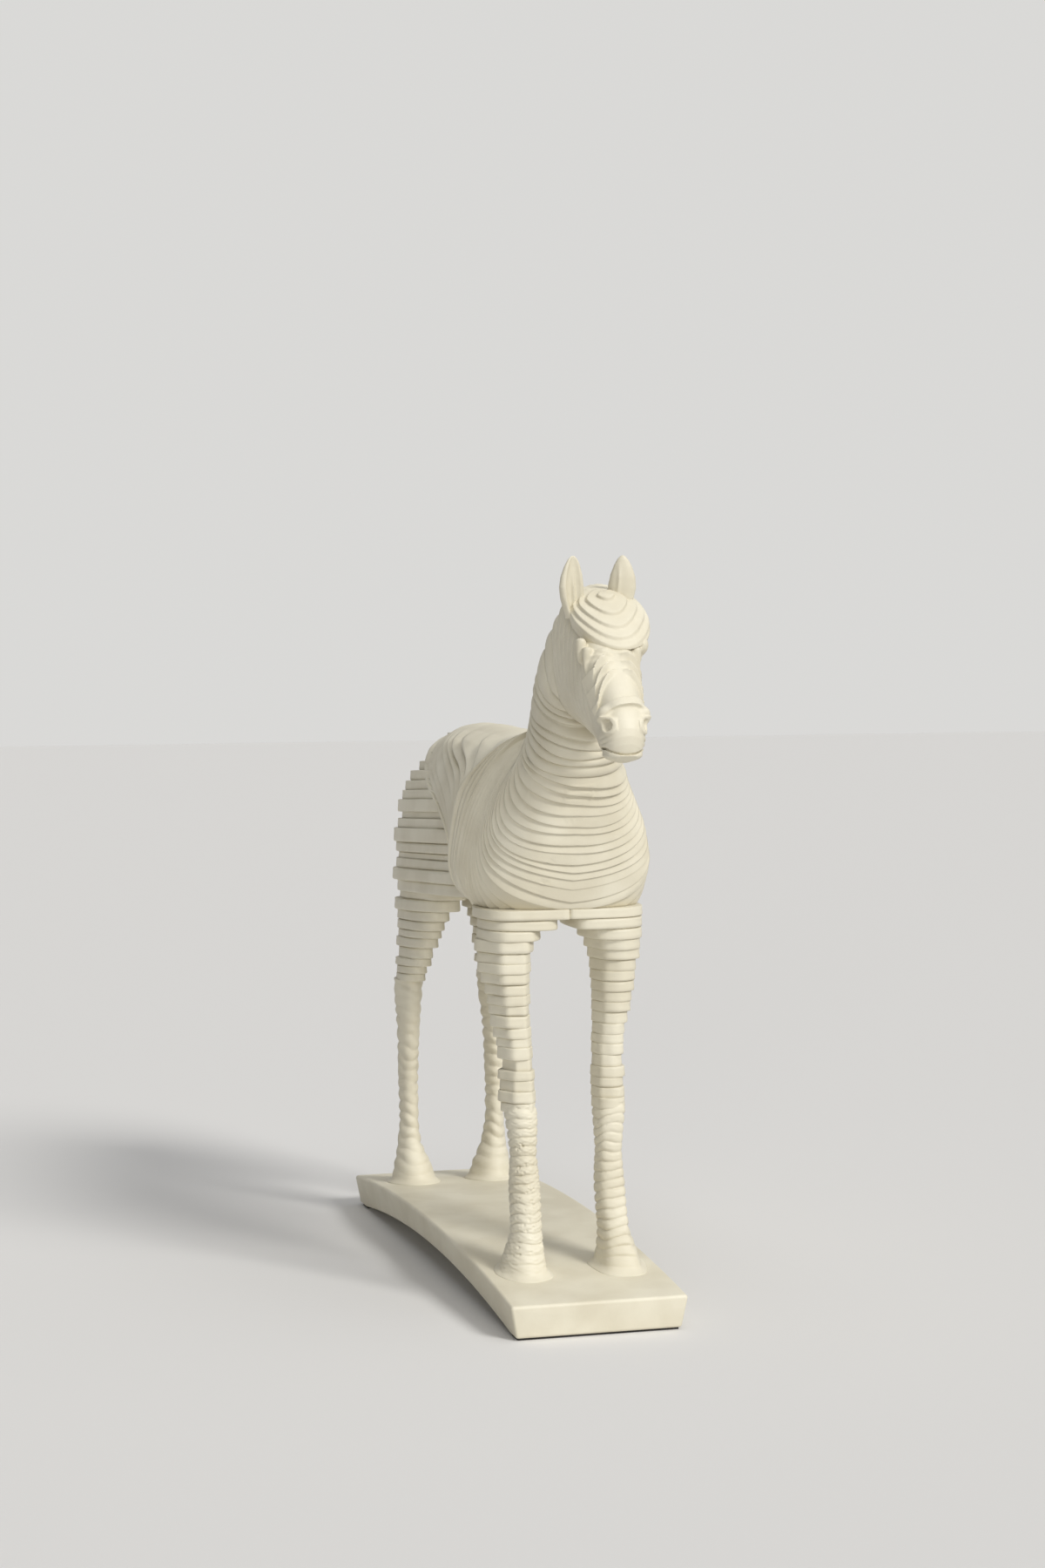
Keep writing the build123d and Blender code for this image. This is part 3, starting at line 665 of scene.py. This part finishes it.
# Raised frames and rough spots that the mould left down the chest: x, z, half width, half height
chest_frames = ((-0.9, 245.1, 6.2, 1.3), (-0.9, 241.2, 6.2, 1.3))
chest_rough = (
    (-4, 230.5, 3.4, 1.2), (-11.2, 211, 2.4, 1), (-13.7, 201, 1.8, 1.4),
    (-14.9, 195.5, 1.8, 1.2),
)
chest_y, chest_blend = -85, 5
frame_height, frame_width, rough_height = 0.55, 0.8, 0.3


def mould_marks(rings):
    rings = rings.copy()
    x, y, z = rings[..., 0], rings[..., 1], rings[..., 2]
    front = clamp((chest_y - y) / chest_blend)
    for mid_x, mid_z, half_x, half_z in chest_frames:
        to_line = abs(np.maximum(abs(x - mid_x) - half_x, abs(z - mid_z) - half_z))
        rings[..., 1] -= frame_height * clamp(1 - to_line / frame_width) * front
    noise = np.random.default_rng(41).normal(0, 1, x.shape)
    for mid_x, mid_z, half_x, half_z in chest_rough:
        near = clamp(1.4 - np.hypot((x - mid_x) / half_x, (z - mid_z) / half_z))
        rings[..., 1] -= rough_height * noise * near * front
    return rings


shoulder_floor = node_box("forequarters")[0][2]
girth_rings = fan_rings(0, 1, 240, (3, 2.6), band_rows, seed=101, whole=True, raised=2.2)
skin("girth_band", *tube(flatten_below(girth_rings, shoulder_floor)))
shoulder_rings = fan_rings(1, 8, 300, (2, 2.4), lapped_rows, seed=131, wander=1)
shoulder_rings = mould_marks(flatten_below(shoulder_rings, shoulder_floor))
skin("forequarters", *tube(shoulder_rings))
neck_rings = fan_rings(8, 15, 200, (1.8, 2.1), round_rows, seed=173, wander=0.16)
skin("neck", *tube(neck_rings))


# Pieces meshed from a field of signed distances
def carve(node, low, high, voxel, field):
    """Make a piece from a function of x, y and z that is negative inside it."""
    low, high = np.array(low, float), np.array(high, float)
    counts = np.ceil((high - low) / voxel).astype(int) + 1
    axes = [(low[k] + voxel * np.arange(counts[k])).astype(np.float32) for k in range(3)]
    x, y, z = np.meshgrid(*axes, indexing="ij", sparse=True)
    away = 3 * voxel
    values = np.clip(field(x, y, z), -away, away).astype(np.float32)
    for axis in range(3):
        edge = [slice(None)] * 3
        for end in (0, -1):
            edge[axis] = end
            values[tuple(edge)] = away
    grid = openvdb.FloatGrid(away)
    grid.copyFromArray(values)
    points, triangles, quads = grid.convertToPolygons(isovalue=0.0, adaptivity=0.0)
    points = points * voxel + low
    faces = triangles.tolist() + quads.tolist()
    # The faces look outward
    first = points[quads[:, 0]]
    turned = np.cross(points[quads[:, 1]] - first, points[quads[:, 2]] - first)
    if (turned * first).sum() < 0:
        faces = [face[::-1] for face in faces]
    skin(node, points, faces)


def melt(a, b, size):
    """Union of two fields with a soft fillet."""
    blend = clamp(0.5 + 0.5 * (b - a) / size)
    return b + (a - b) * blend - size * blend * (1 - blend)


def ball(x, y, z, centre, radii):
    """Field of an ellipsoid."""
    squares = (((value - c) / r) ** 2 for value, c, r in zip((x, y, z), centre, radii))
    return (np.sqrt(sum(squares)) - 1) * min(radii)


def stepped(level, pitch, keen):
    """Level raised in rounded steps."""
    whole = np.floor(level / pitch)
    part = level / pitch - whole
    return pitch * (whole + clamp(0.5 + (part - 0.5) * keen))


# Head: place along the face from the brow, its top and bottom from the face's line, half width
head_stations = (
    (-56, -22, -40, 8), (-48, -17.5, -46, 13), (-38, -13, -55, 15.2), (-25, -8, -62, 16.6),
    (-12, -3.2, -61, 15.6), (-4, -1.2, -56, 15.1), (4, 0, -49.5, 14.5), (12, 0.6, -43, 13.6),
    (20, 0.8, -37, 12.4), (28, 0.5, -31.5, 10.8), (34, 0.2, -28, 10.4), (39, -0.6, -25.8, 10.6),
    (43, -2, -24, 10.2), (46, -3.8, -22.2, 9.2), (48.5, -6.4, -20, 7.6), (50.3, -9.2, -17.6, 5.4),
    (51.6, -12.6, -15, 2),
)
# Squareness of its section, and how far the face bends aside
head_powers = ((-20, 3.2), (-5, 3.5), (5, 3), (14, 2.5), (36, 2.5), (48, 2.1))
face_bend = ((-20, 1.6), (48, -0.6))
jaw_narrow, top_narrow = 0.26, 0.1
brow_y, brow_z = -160, 311
face_y, face_z = -0.646, -0.763
nose_end, head_back = 51.8, -119

# Arcs round the forehead, open towards the nose
arc_half, arc_bow, arc_widen = 11.2, 3.92, 0.9
arc_start, arc_pitch, arc_count, arc_depth = 3.2, 4.5, 3, 1.6


def forehead_arcs(x, along, out):
    bow = 1 - np.sqrt(1 - np.clip((x - 0.5) / arc_half, -0.99, 0.99) ** 2)
    arc = ((along - arc_bow * bow) / (1 + arc_widen * bow) - arc_start) / arc_pitch
    part = arc - np.floor(arc)
    saw = clamp(part / 0.1) * (1 - part) ** 1.2
    keep = clamp(arc + 1) * clamp((arc_count - arc) / 0.4) * clamp((out + 14) / 3)
    keep = keep * clamp((31 - along) / 4) * np.clip((abs(x) - 1) / 4.5, 0.08, 1)
    return arc_depth * saw * keep


# Cheek: upright lines, coarse and fine
cheek_slant, cheek_coarse, cheek_fine, cheek_height = 0.47, 4.9, 1.63, 0.42


def cheek_lines(aside, along, out):
    cheek = out + cheek_slant * along
    lines = 0.34 * abs(np.sin(pi * cheek / cheek_coarse)) ** 0.5
    lines = lines + 0.16 * abs(np.sin(pi * cheek / cheek_fine + 1))
    keep = clamp((aside - 0.55) * 5)
    return (cheek_height - lines) * keep * clamp((-8 - out) / 4) * clamp((32 - along) / 6)


# Brows: two tongues at each side, wide above and pointed below, over a ball. A tongue has its
# beginning and tip (along, out), its place across and its half width
brow_tongues = (
    ((-7.5, -3.6), (2.2, -9), 13.4, 3.4),
    ((-2, -2.8), (8, -8.6), 11.4, 3),
)
brow_thick = 2.6


def add_brows(body, x, along, out):
    for begin, tip, across, wide in brow_tongues:
        axis = np.array(tip) - np.array(begin)
        length = float(np.hypot(*axis))
        axis = axis / length
        forth = (along - begin[0]) * axis[0] + (out - begin[1]) * axis[1]
        aside = (out - begin[1]) * axis[0] - (along - begin[0]) * axis[1]
        share = clamp(forth / length)
        width = wide * (1 - 0.9 * share)
        ends = ((forth - length / 2) / (0.54 * length)) ** 6
        for turn in (-1, 1):
            away = (turn * x - across + 1.2 * share) / brow_thick
            tongue = np.sqrt((aside / width) ** 2 + away**2 + ends) - 1
            body = melt(body, tongue * width * 0.8, 0.6)
    return melt(body, ball(x, along, out, (14.6, -5, -5), (3.5, 4.2, 4.2)), 1.2)


# Band across the nose, with a bump at both ends
nose_band, nose_band_slant, nose_band_half = 31, 0.1, 1.9
nose_band_height, nose_band_low = 1.25, -8.6


def add_nose_band(body, x, along, out):
    place = along - nose_band + nose_band_slant * x
    ends = np.maximum(abs(place) - nose_band_half, nose_band_low - out)
    body = melt(body, np.maximum(body - nose_band_height, ends), 0.7)
    for turn in (-1, 1):
        body = melt(body, ball(turn * x, along, out, (9.2, 33.2, -5.8), (3, 2.7, 4)), 2)
    return body


# Nostrils: an oval rim about a hollow with a small hole. Middle: across, along, out
nostril = (8.4, 39.2, -5)
nostril_long, nostril_high, nostril_reach = 3.6, 2.9, -3.5


def cut_nostrils(body, x, along, out):
    for turn in (-1, 1):
        across, forth, high = turn * x - nostril[0], along - nostril[1], out - nostril[2]
        oval = np.sqrt((forth / nostril_long) ** 2 + (high / nostril_high) ** 2)
        rim = np.maximum(abs(oval - 1) * 3 - 0.65, body - 0.75)
        body = melt(body, np.where(across > nostril_reach, rim, 9), 0.6)
        hollow = np.maximum((oval - 0.72) * 3, -(body + 0.7))
        body = np.where(across > nostril_reach, np.maximum(body, -hollow), body)
        hole = ball(turn * x, along, out, (9.4, 38, -4.2), (2.6, 0.9, 1.1))
        body = np.maximum(body, -hole)
    return body


# Mouth: a slit above the lower lip, with wrinkles at its corners
mouth_z, mouth_bow, mouth_half, mouth_back, mouth_deep = 265.2, 0.032, 0.38, 41.5, 1.3
corner_side, corner_along, corner_out = 6.2, 44, -11


def cut_mouth(body, x, y, z, along, out):
    side = abs(x)
    height = z - mouth_z - mouth_bow * side**2
    lip = ball(x, y, z, (0, -177.4, 264.9), (8.9, 8.8, 3.3))
    body = melt(body, np.maximum(lip, height - 0.2), 0.5)
    slit = np.maximum(abs(height) - mouth_half, mouth_back - along)
    body = np.maximum(body, -np.maximum(slit, -(body + mouth_deep)))
    wrinkle = abs(np.sin(1.25 * (along - 0.45 * out))) ** 3
    corner = clamp((side - corner_side) / 1.5)
    corner = corner * clamp(1 - abs(along - corner_along) / 4.5)
    corner = corner * clamp(1 - abs(out - corner_out) / 6)
    return body + 0.7 * wrinkle * corner


def head_field(x, y, z):
    along = (y - brow_y) * face_y + (z - brow_z) * face_z
    out = (y - brow_y) * face_z - (z - brow_z) * face_y
    x = x - between(face_bend, along)[0]
    top, bottom, half_width = between(head_stations, along)
    middle, half = (top + bottom) / 2, (top - bottom) / 2
    level = (out - middle) / half
    narrow = 1 - jaw_narrow * clamp(-level - 0.1) - top_narrow * clamp(level)
    aside = abs(x) / (half_width * narrow)
    power = between(head_powers, along)[0]
    near = (aside**power + abs(level) ** power) ** (1 / power)
    body = (near - 1) * np.minimum(half_width * narrow, half) * 0.85
    body = body - forehead_arcs(x, along, out)
    body = body + cheek_lines(aside, along, out)
    body = add_brows(body, x, along, out)
    body = add_nose_band(body, x, along, out)
    body = cut_nostrils(body, x, along, out)
    body = cut_mouth(body, x, y, z, along, out)
    # Creases under the cap's rim
    crease = 0.35 * abs(np.sin(1.1 * (along - 0.3 * x))) ** 2
    crease = crease * clamp(1 - abs(along - 3) / 4.5) * clamp(1 - abs(x + 7) / 7)
    # Flat at the back, where the neck takes over
    return np.maximum(np.maximum(body + crease, along - nose_end), y - head_back)


carve("head", (-24, -193, 256), (26, -116, 341), 0.4, head_field)

# Forelock cap: spiral terraces on the seat between brow and poll
seat_y, seat_z = -141, 324
seat_down_y, seat_down_z = -0.825, -0.565
cap_rise = 11
cap_pitch = 2.35
cap_across, cap_down, cap_lean, cap_roundness = 17.9, 24.5, 6.5, 1.35
swirl_pitch, swirl_reach, swirl_depth = 2.2, 5.5, 0.55


def cap_field(x, y, z):
    down = (y - seat_y) * seat_down_y + (z - seat_z) * seat_down_z
    over = (y - seat_y) * seat_down_z - (z - seat_z) * seat_down_y
    across = x - 5.2 + 2.2 * clamp(over / cap_rise)
    summit_down = down + 6.5
    turn = np.arctan2(summit_down, across - 0.5)
    sway = 0.55 * np.sin(2 * turn + 0.6) + 0.45 * np.sin(3 * turn + 1.9) + 0.3 * np.sin(5 * turn)
    # The level spirals up round the summit, and the steps are cut in it
    level = over + 1.4 + cap_pitch * turn / (2 * pi) + 0.9 * sway * clamp((9.5 - over) / 6)
    held = over + (stepped(level, cap_pitch, 3) - level)
    top = cap_rise - 0.36 * np.clip(-3 - down, 0, 20)
    share = np.clip(held / top, -0.2, 1)
    reach = clamp(1 - clamp(share) ** cap_roundness) ** (1 / cap_roundness)
    lean = cap_lean * clamp(over / cap_rise)
    size = np.sqrt((across / cap_across) ** 2 + ((down + lean) / (cap_down - 0.2 * lean)) ** 2)
    body = (size - reach) * 17
    body = np.maximum(body, over - top)
    # The rim droops at both sides and waves
    droop = 0.0045 * across**2 + 0.9 * np.sin(turn * 3 + 0.5) * clamp(np.hypot(across, down) / 20)
    body = np.maximum(body, -(over + 1.5 + droop))
    curl = np.hypot(across - 0.8, summit_down + 0.6)
    swirl = abs(((curl / swirl_pitch - turn / (2 * pi)) % 1) - 0.5) * 2
    body = body + swirl_depth * (1 - swirl) ** 3 * clamp(1 - curl / swirl_reach)
    return body * 0.75


carve("forelock_cap", (-22, -170, 304), (26, -112, 345), 0.4, cap_field)


# Ears: a pointed leaf. The near one has a hollow front with a ridge in it, and the off one a
# ridge only. Place from foot to tip, half width, half thickness
ear_stations = (
    (-0.1, 3.6, 3.4), (0.1, 4.8, 3.6), (0.3, 5.9, 3.5), (0.48, 6.3, 3.3), (0.66, 5.6, 2.8),
    (0.82, 4.1, 2.1), (0.93, 2.5, 1.4), (0.98, 1.3, 0.8), (1, 0.4, 0.3),
)
ear_turn = 18


def ear_field(side):
    foot = np.array([side * 10.2, -136, 325])
    tip = np.array([side * 11.7, -139.6, 351.4])
    axis = (tip - foot) / np.linalg.norm(tip - foot)
    length = np.linalg.norm(tip - foot)
    across = np.cross(axis, [0, -1, 0])
    across = across / np.linalg.norm(across)
    ahead = np.cross(axis, across)
    ahead = ahead if ahead[1] < 0 else -ahead
    turned = radians(ear_turn * side)
    across, ahead = across * cos(turned) + ahead * sin(turned), ahead * cos(turned) - across * sin(turned)

    def field(x, y, z):
        x, y, z = x - foot[0], y - foot[1], z - foot[2]
        along, wide, thick = (x * way[0] + y * way[1] + z * way[2] for way in (axis, across, ahead))
        share = along / length
        half_width, half_thick = between(ear_stations, share)
        wide = wide - side * 1.1 * across[0] * np.sin(pi * clamp(share))
        near = np.sqrt((wide / half_width) ** 2 + (thick / half_thick) ** 2)
        half = np.minimum(half_width, half_thick)
        leaf = np.maximum((near - 1) * half * 0.9, along - length)
        if side < 0:
            deep = (thick - 1.1 * half_thick) / (1.15 * half_thick)
            scoop = np.sqrt((wide / (0.74 * half_width)) ** 2 + deep**2)
            scoop = (scoop - 1) * half * 0.7 + 3 * clamp(0.12 - share)
            leaf = -melt(-leaf, scoop, 0.8)
            ridge = np.exp(-(((wide - 0.7) / 0.8) ** 2)) * clamp(thick + 1.5)
            return leaf - 0.75 * ridge * clamp((0.8 - share) * 3)
        ridge = np.exp(-(((wide + 1.6) / 0.9) ** 2)) * clamp(thick)
        return leaf - 0.5 * ridge * clamp((0.9 - share) * 4)

    return field


carve("near_ear", (-20, -146, 323), (-3, -128, 353), 0.3, ear_field(-1))
carve("off_ear", (3, -146, 323), (20, -128, 353), 0.3, ear_field(1))

# Lower legs: height, middle across, half width, middle along, half depth
fore_shank = (
    (15, 23.3, 12, -104.5, 17), (20, 23.2, 11, -104.5, 15.8), (28, 22.9, 9.3, -104, 12.6),
    (38, 21.4, 7.2, -103, 9.6), (48, 21, 7.2, -100.5, 9), (58, 20.9, 7.3, -98, 8.6),
    (66, 20.8, 6.8, -97, 8), (74, 20.9, 6.1, -96, 7.5), (84, 21.2, 6.9, -95, 8.4),
    (92, 21.6, 7.6, -94, 9.4), (98, 22, 7.2, -92.5, 9.4),
)
hind_shank = (
    (15, 20.6, 12.6, 105, 18.2), (20, 20.9, 11.4, 105, 16.6), (30, 21.6, 9.4, 105.6, 13.2),
    (36, 22.4, 7.4, 106, 10.8), (41, 23, 6.1, 106.5, 9), (52, 23.4, 4.8, 106, 7.2),
    (71, 23.7, 5, 106.5, 7.4), (90, 23.5, 5.2, 107.5, 8.4), (104, 23.3, 5.6, 108.5, 9.5),
    (119, 22.9, 6.3, 110, 12.5), (128, 22.6, 6.5, 110.5, 13.2),
)
plinth_edge = 15


def plinth_surface(y):
    """Height of the plinth's crowned top, whose ends are at plinth_edge."""
    low, high = node_box("plinth")
    half = (high[1] - low[1]) / 2
    corner = low[2] + plinth_edge
    return corner + (high[2] - corner) * (1 - (y / half) ** 2)


shank_facet_sharpness = 7
foot_flare, foot_flare_height = 2.6, 3.4
foot_fade, foot_least = 14, 0.12


def shank_rings(table, side, around, step, pitch, lean, depth, keen, facets, seed, rough, pits):
    """Rings of a rippled shank.

    step is the rings' distance, pitch the ripples'. lean is how far the ripples drop to the
    front, to the outside and at both sides. depth and keen shape their grooves, rough is the
    skin's, and pits gives each pinhole's height, angle and size.
    """
    low, high = plinth_surface(table[0][3]), table[-1][0]
    count = int((high - low) / step)
    angles = np.linspace(0, 2 * pi, around, endpoint=False)
    rings = []
    for k in range(count + 1):
        share = k / count
        height = low + share * (high - low)
        middle, half_width, along, half_depth = between(table, height)
        x, y = faceted(angles, half_width, half_depth, facets, shank_facet_sharpness)
        forward, across = -y / half_depth, x / half_width
        phase = (height - lean[0] * forward - lean[1] * across - lean[2] * across**2) / pitch
        phase = phase + 0.13 * waves(seed, 5, angles, height / 9)
        fade = np.clip((height - low) / foot_fade, foot_least, 1)
        fade = fade * (0.75 + 0.25 * waves(seed + 5, 4, angles, height / 12))
        groove = depth * fade * abs(2 * (phase % 1) - 1) ** keen
        flare = foot_flare * clamp(1 - (height - low) / foot_flare_height) ** 2.2
        out_x, out_y = outward(x, y)
        move = flare - groove + rough * waves(seed + 9, 14, 4 * angles, height * 1.3)
        for pit_height, pit_angle, pit_size in pits:
            if abs(height - pit_height) < 2:
                turn = (angles - pit_angle + pi) % (2 * pi) - pi
                far = np.hypot(turn * half_width, height - pit_height) / pit_size
                move = move - 0.9 * pit_size * clamp(1 - far) ** 0.7
        px = side * middle + x + out_x * move
        py = along + y + out_y * move
        # The foot follows the crowned plinth, and its first ring is sunk in it
        pz = height + (plinth_surface(py) - plinth_surface(along)) * (1 - share) ** 2 - 0.25 * (k == 0)
        rings.append(np.stack([px, py, pz], -1))
    return np.array(rings)


def random_pits(count, heights, facings, sizes):
    return [
        (float(rng.uniform(*heights)), float(radians(rng.uniform(*facings))), float(rng.uniform(*sizes)))
        for _ in range(count)
    ]


near_shank_facets = ((205, 0.98), (250, 0.97), (300, 0.97), (0, 0.98), (60, 1), (120, 1), (165, 1))
off_shank_facets = ((275, 0.96), (190, 0.98), (345, 0.98), (40, 1), (90, 1), (140, 1), (235, 1.04))
round_facets = tuple((k * 45 + 22, 1) for k in range(8))
rng = np.random.default_rng(5)
near_pits = random_pits(70, (30, 88), (215, 320), (0.35, 0.75))
off_pits = random_pits(14, (60, 90), (190, 320), (0.3, 0.5))
for name, *values in (
    ("near_fore_shank", fore_shank, -1, 150, 0.3, 4.3, (1.4, 0.2, 0),
     1, 3, near_shank_facets, 211, 0.1, near_pits),
    ("off_fore_shank", fore_shank, 1, 130, 0.33, 4.25, (2.2, 0.5, 0.4),
     1, 3.2, off_shank_facets, 223, 0.02, off_pits),
    ("near_hind_shank", hind_shank, -1, 90, 0.5, 6.1, (1, -2.2, 1.2),
     0.95, 1.6, round_facets, 227, 0.02, ()),
    ("off_hind_shank", hind_shank, 1, 90, 0.5, 6.1, (1, -1.8, 1),
     0.95, 1.6, round_facets, 229, 0.02, ()),
):
    skin(name, *tube(shank_rings(*values)))

# Plinth: crowned, arched and drafted, its edges softened and its ends set back below
plinth_arch, arch_foot, plinth_draft = 10, 12, 2.4
plinth_setback, setback_length, plinth_soft = 1, 6, 1.5
corner_steps, end_steps, plinth_stations = 6, 8, 120
side_steps = (8, 24, 8, 24)


def plinth_section(y, inset):
    """Rounded outline of the plinth at a place along it, drawn in by an inset."""
    low, high = node_box("plinth")
    arch = plinth_arch * np.clip(1 - (y / (high[1] - arch_foot)) ** 2, 0, None)
    z_top, z_low = plinth_surface(y) - inset, low[2] + arch + inset
    wide_top = high[0] - inset
    wide_low = high[0] - plinth_draft * (z_top - z_low) / plinth_edge - inset
    soft = max(plinth_soft - 0.6 * inset, 0.2)
    corners = []
    for x, z, begin in (
        (wide_low - soft, z_low + soft, -90),
        (wide_top - soft, z_top - soft, 0),
        (-wide_top + soft, z_top - soft, 90),
        (-wide_low + soft, z_low + soft, 180),
    ):
        turns = [radians(begin + 90 * k / corner_steps) for k in range(corner_steps + 1)]
        corners.append([(x + soft * cos(turn), z + soft * sin(turn)) for turn in turns])
    points = []
    for corner, following, count in zip(corners, corners[1:] + corners[:1], side_steps):
        (x, z), (end_x, end_z) = corner[-1], following[0]
        parts = [k / count for k in range(1, count)]
        points += corner + [(x + (end_x - x) * part, z + (end_z - z) * part) for part in parts]
    return np.array(points).T


def plinth_rings():
    half = node_box("plinth")[1][1]
    turns = [radians(90 * k / end_steps) for k in range(end_steps + 1)]
    ends = [(half - plinth_soft * (1 - cos(turn)), plinth_soft * (1 - sin(turn))) for turn in turns]
    stations = [(-y, inset) for y, inset in ends]
    places = np.linspace(-half + plinth_soft, half - plinth_soft, plinth_stations)[1:-1]
    stations += [(y, 0) for y in places] + ends[::-1]
    rings = []
    for y, inset in stations:
        x, z = plinth_section(y, inset)
        back = plinth_setback * clamp((plinth_surface(y) - z) / plinth_edge)
        back = back * clamp((abs(y) - half + setback_length) / setback_length)
        rings.append(np.stack([x, y - np.sign(y) * back, z], -1))
    return np.array(rings)


skin("plinth", *tube(plinth_rings()))

# Felt and steel for the CAD nodes that stay
for name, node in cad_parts.items():
    metal = name.endswith(("_pin", "_rod"))
    if metal or name.endswith("_pad"):
        node.data.materials.clear()
        node.data.materials.append(steel if metal else felt)

# Floor
floor_mesh = bpy.data.meshes.new("floor")
floor_half = 4.0
floor_corners = [(x * floor_half, y * floor_half, 0) for x, y in ((-1, -1), (1, -1), (1, 1), (-1, 1))]
floor_mesh.from_pydata(floor_corners, [], [(0, 1, 2, 3)])
floor = bpy.data.objects.new("floor", floor_mesh)
scene.collection.objects.link(floor)
floor_material = bpy.data.materials.new("floor")
floor_material.use_nodes = True
floor_shader = floor_material.node_tree.nodes["Principled BSDF"]
set_inputs(floor_shader, {"Base Color": (0.735, 0.725, 0.71, 1), "Roughness": 1, "Specular IOR Level": 0})
floor_mesh.materials.append(floor_material)

# Lights: soft suns from the right front, from above and, weaker, from the left front; a pale world
aim = Vector((0, 0, 0.17))
for name, energy, spread, colour, place in (
    ("key", 2.02, 0.3, (1, 0.985, 0.955), (0.55, -1, 1)),
    ("fill", 1.22, 1.2, (1, 1, 1), (0.15, -0.2, 1.2)),
    ("front", 0.65, 0.4, (1, 1, 1), (-0.35, -1, 0.35)),
):
    lamp_data = bpy.data.lights.new(name, "SUN")
    lamp_data.energy = energy
    lamp_data.angle = spread
    lamp_data.color = colour
    lamp = bpy.data.objects.new(name, lamp_data)
    lamp.location = place
    lamp.rotation_euler = (aim - Vector(place)).to_track_quat("-Z", "Y").to_euler()
    scene.collection.objects.link(lamp)
world = bpy.data.worlds.new("studio")
world.use_nodes = True
world_tree = world.node_tree
link = world_tree.links.new
soft_light = world_tree.nodes["Background"]
set_inputs(soft_light, {"Color": (0.9, 0.92, 0.95, 1), "Strength": 0.15})
paper = world_tree.nodes.new("ShaderNodeBackground")
set_inputs(paper, {"Color": (0.7, 0.695, 0.68, 1), "Strength": 1})
seen = world_tree.nodes.new("ShaderNodeLightPath")
either = seen.outputs["Is Camera Ray"]
for ray in ("Is Glossy Ray", "Is Transmission Ray"):
    larger = world_tree.nodes.new("ShaderNodeMath")
    larger.operation = "MAXIMUM"
    link(either, larger.inputs[0])
    link(seen.outputs[ray], larger.inputs[1])
    either = larger.outputs["Value"]
mixed = world_tree.nodes.new("ShaderNodeMixShader")
link(either, mixed.inputs["Fac"])
link(soft_light.outputs["Background"], mixed.inputs[1])
link(paper.outputs["Background"], mixed.inputs[2])
link(mixed.outputs["Shader"], world_tree.nodes["World Output"].inputs["Surface"])
scene.world = world

# Camera: the photograph's place and lens, whose focal length is in the picture's pixels
focal_pixels, picture_height = 3500, 1800
sensor_height = 36
camera_place = Vector((-420.4, -1435.9, 354.3)) * mm
camera_yaw, camera_pitch, camera_roll = radians(16.57), radians(-4.42), radians(0.22)
camera_data = bpy.data.cameras.new("camera")
camera_data.sensor_fit = "VERTICAL"
camera_data.sensor_height = sensor_height
camera_data.lens = sensor_height * focal_pixels / picture_height
camera = bpy.data.objects.new("camera", camera_data)
level = cos(camera_pitch)
forward = Vector((sin(camera_yaw) * level, cos(camera_yaw) * level, sin(camera_pitch)))
right = Vector((cos(camera_yaw), -sin(camera_yaw), 0))
up = right.cross(forward)
turned_right = right * cos(camera_roll) + up * sin(camera_roll)
turned_up = turned_right.cross(forward)
rows = zip(turned_right, turned_up, -forward, camera_place)
camera.matrix_world = Matrix((*rows, (0, 0, 0, 1)))
scene.collection.objects.link(camera)
scene.camera = camera
scene.view_settings.view_transform = "Standard"
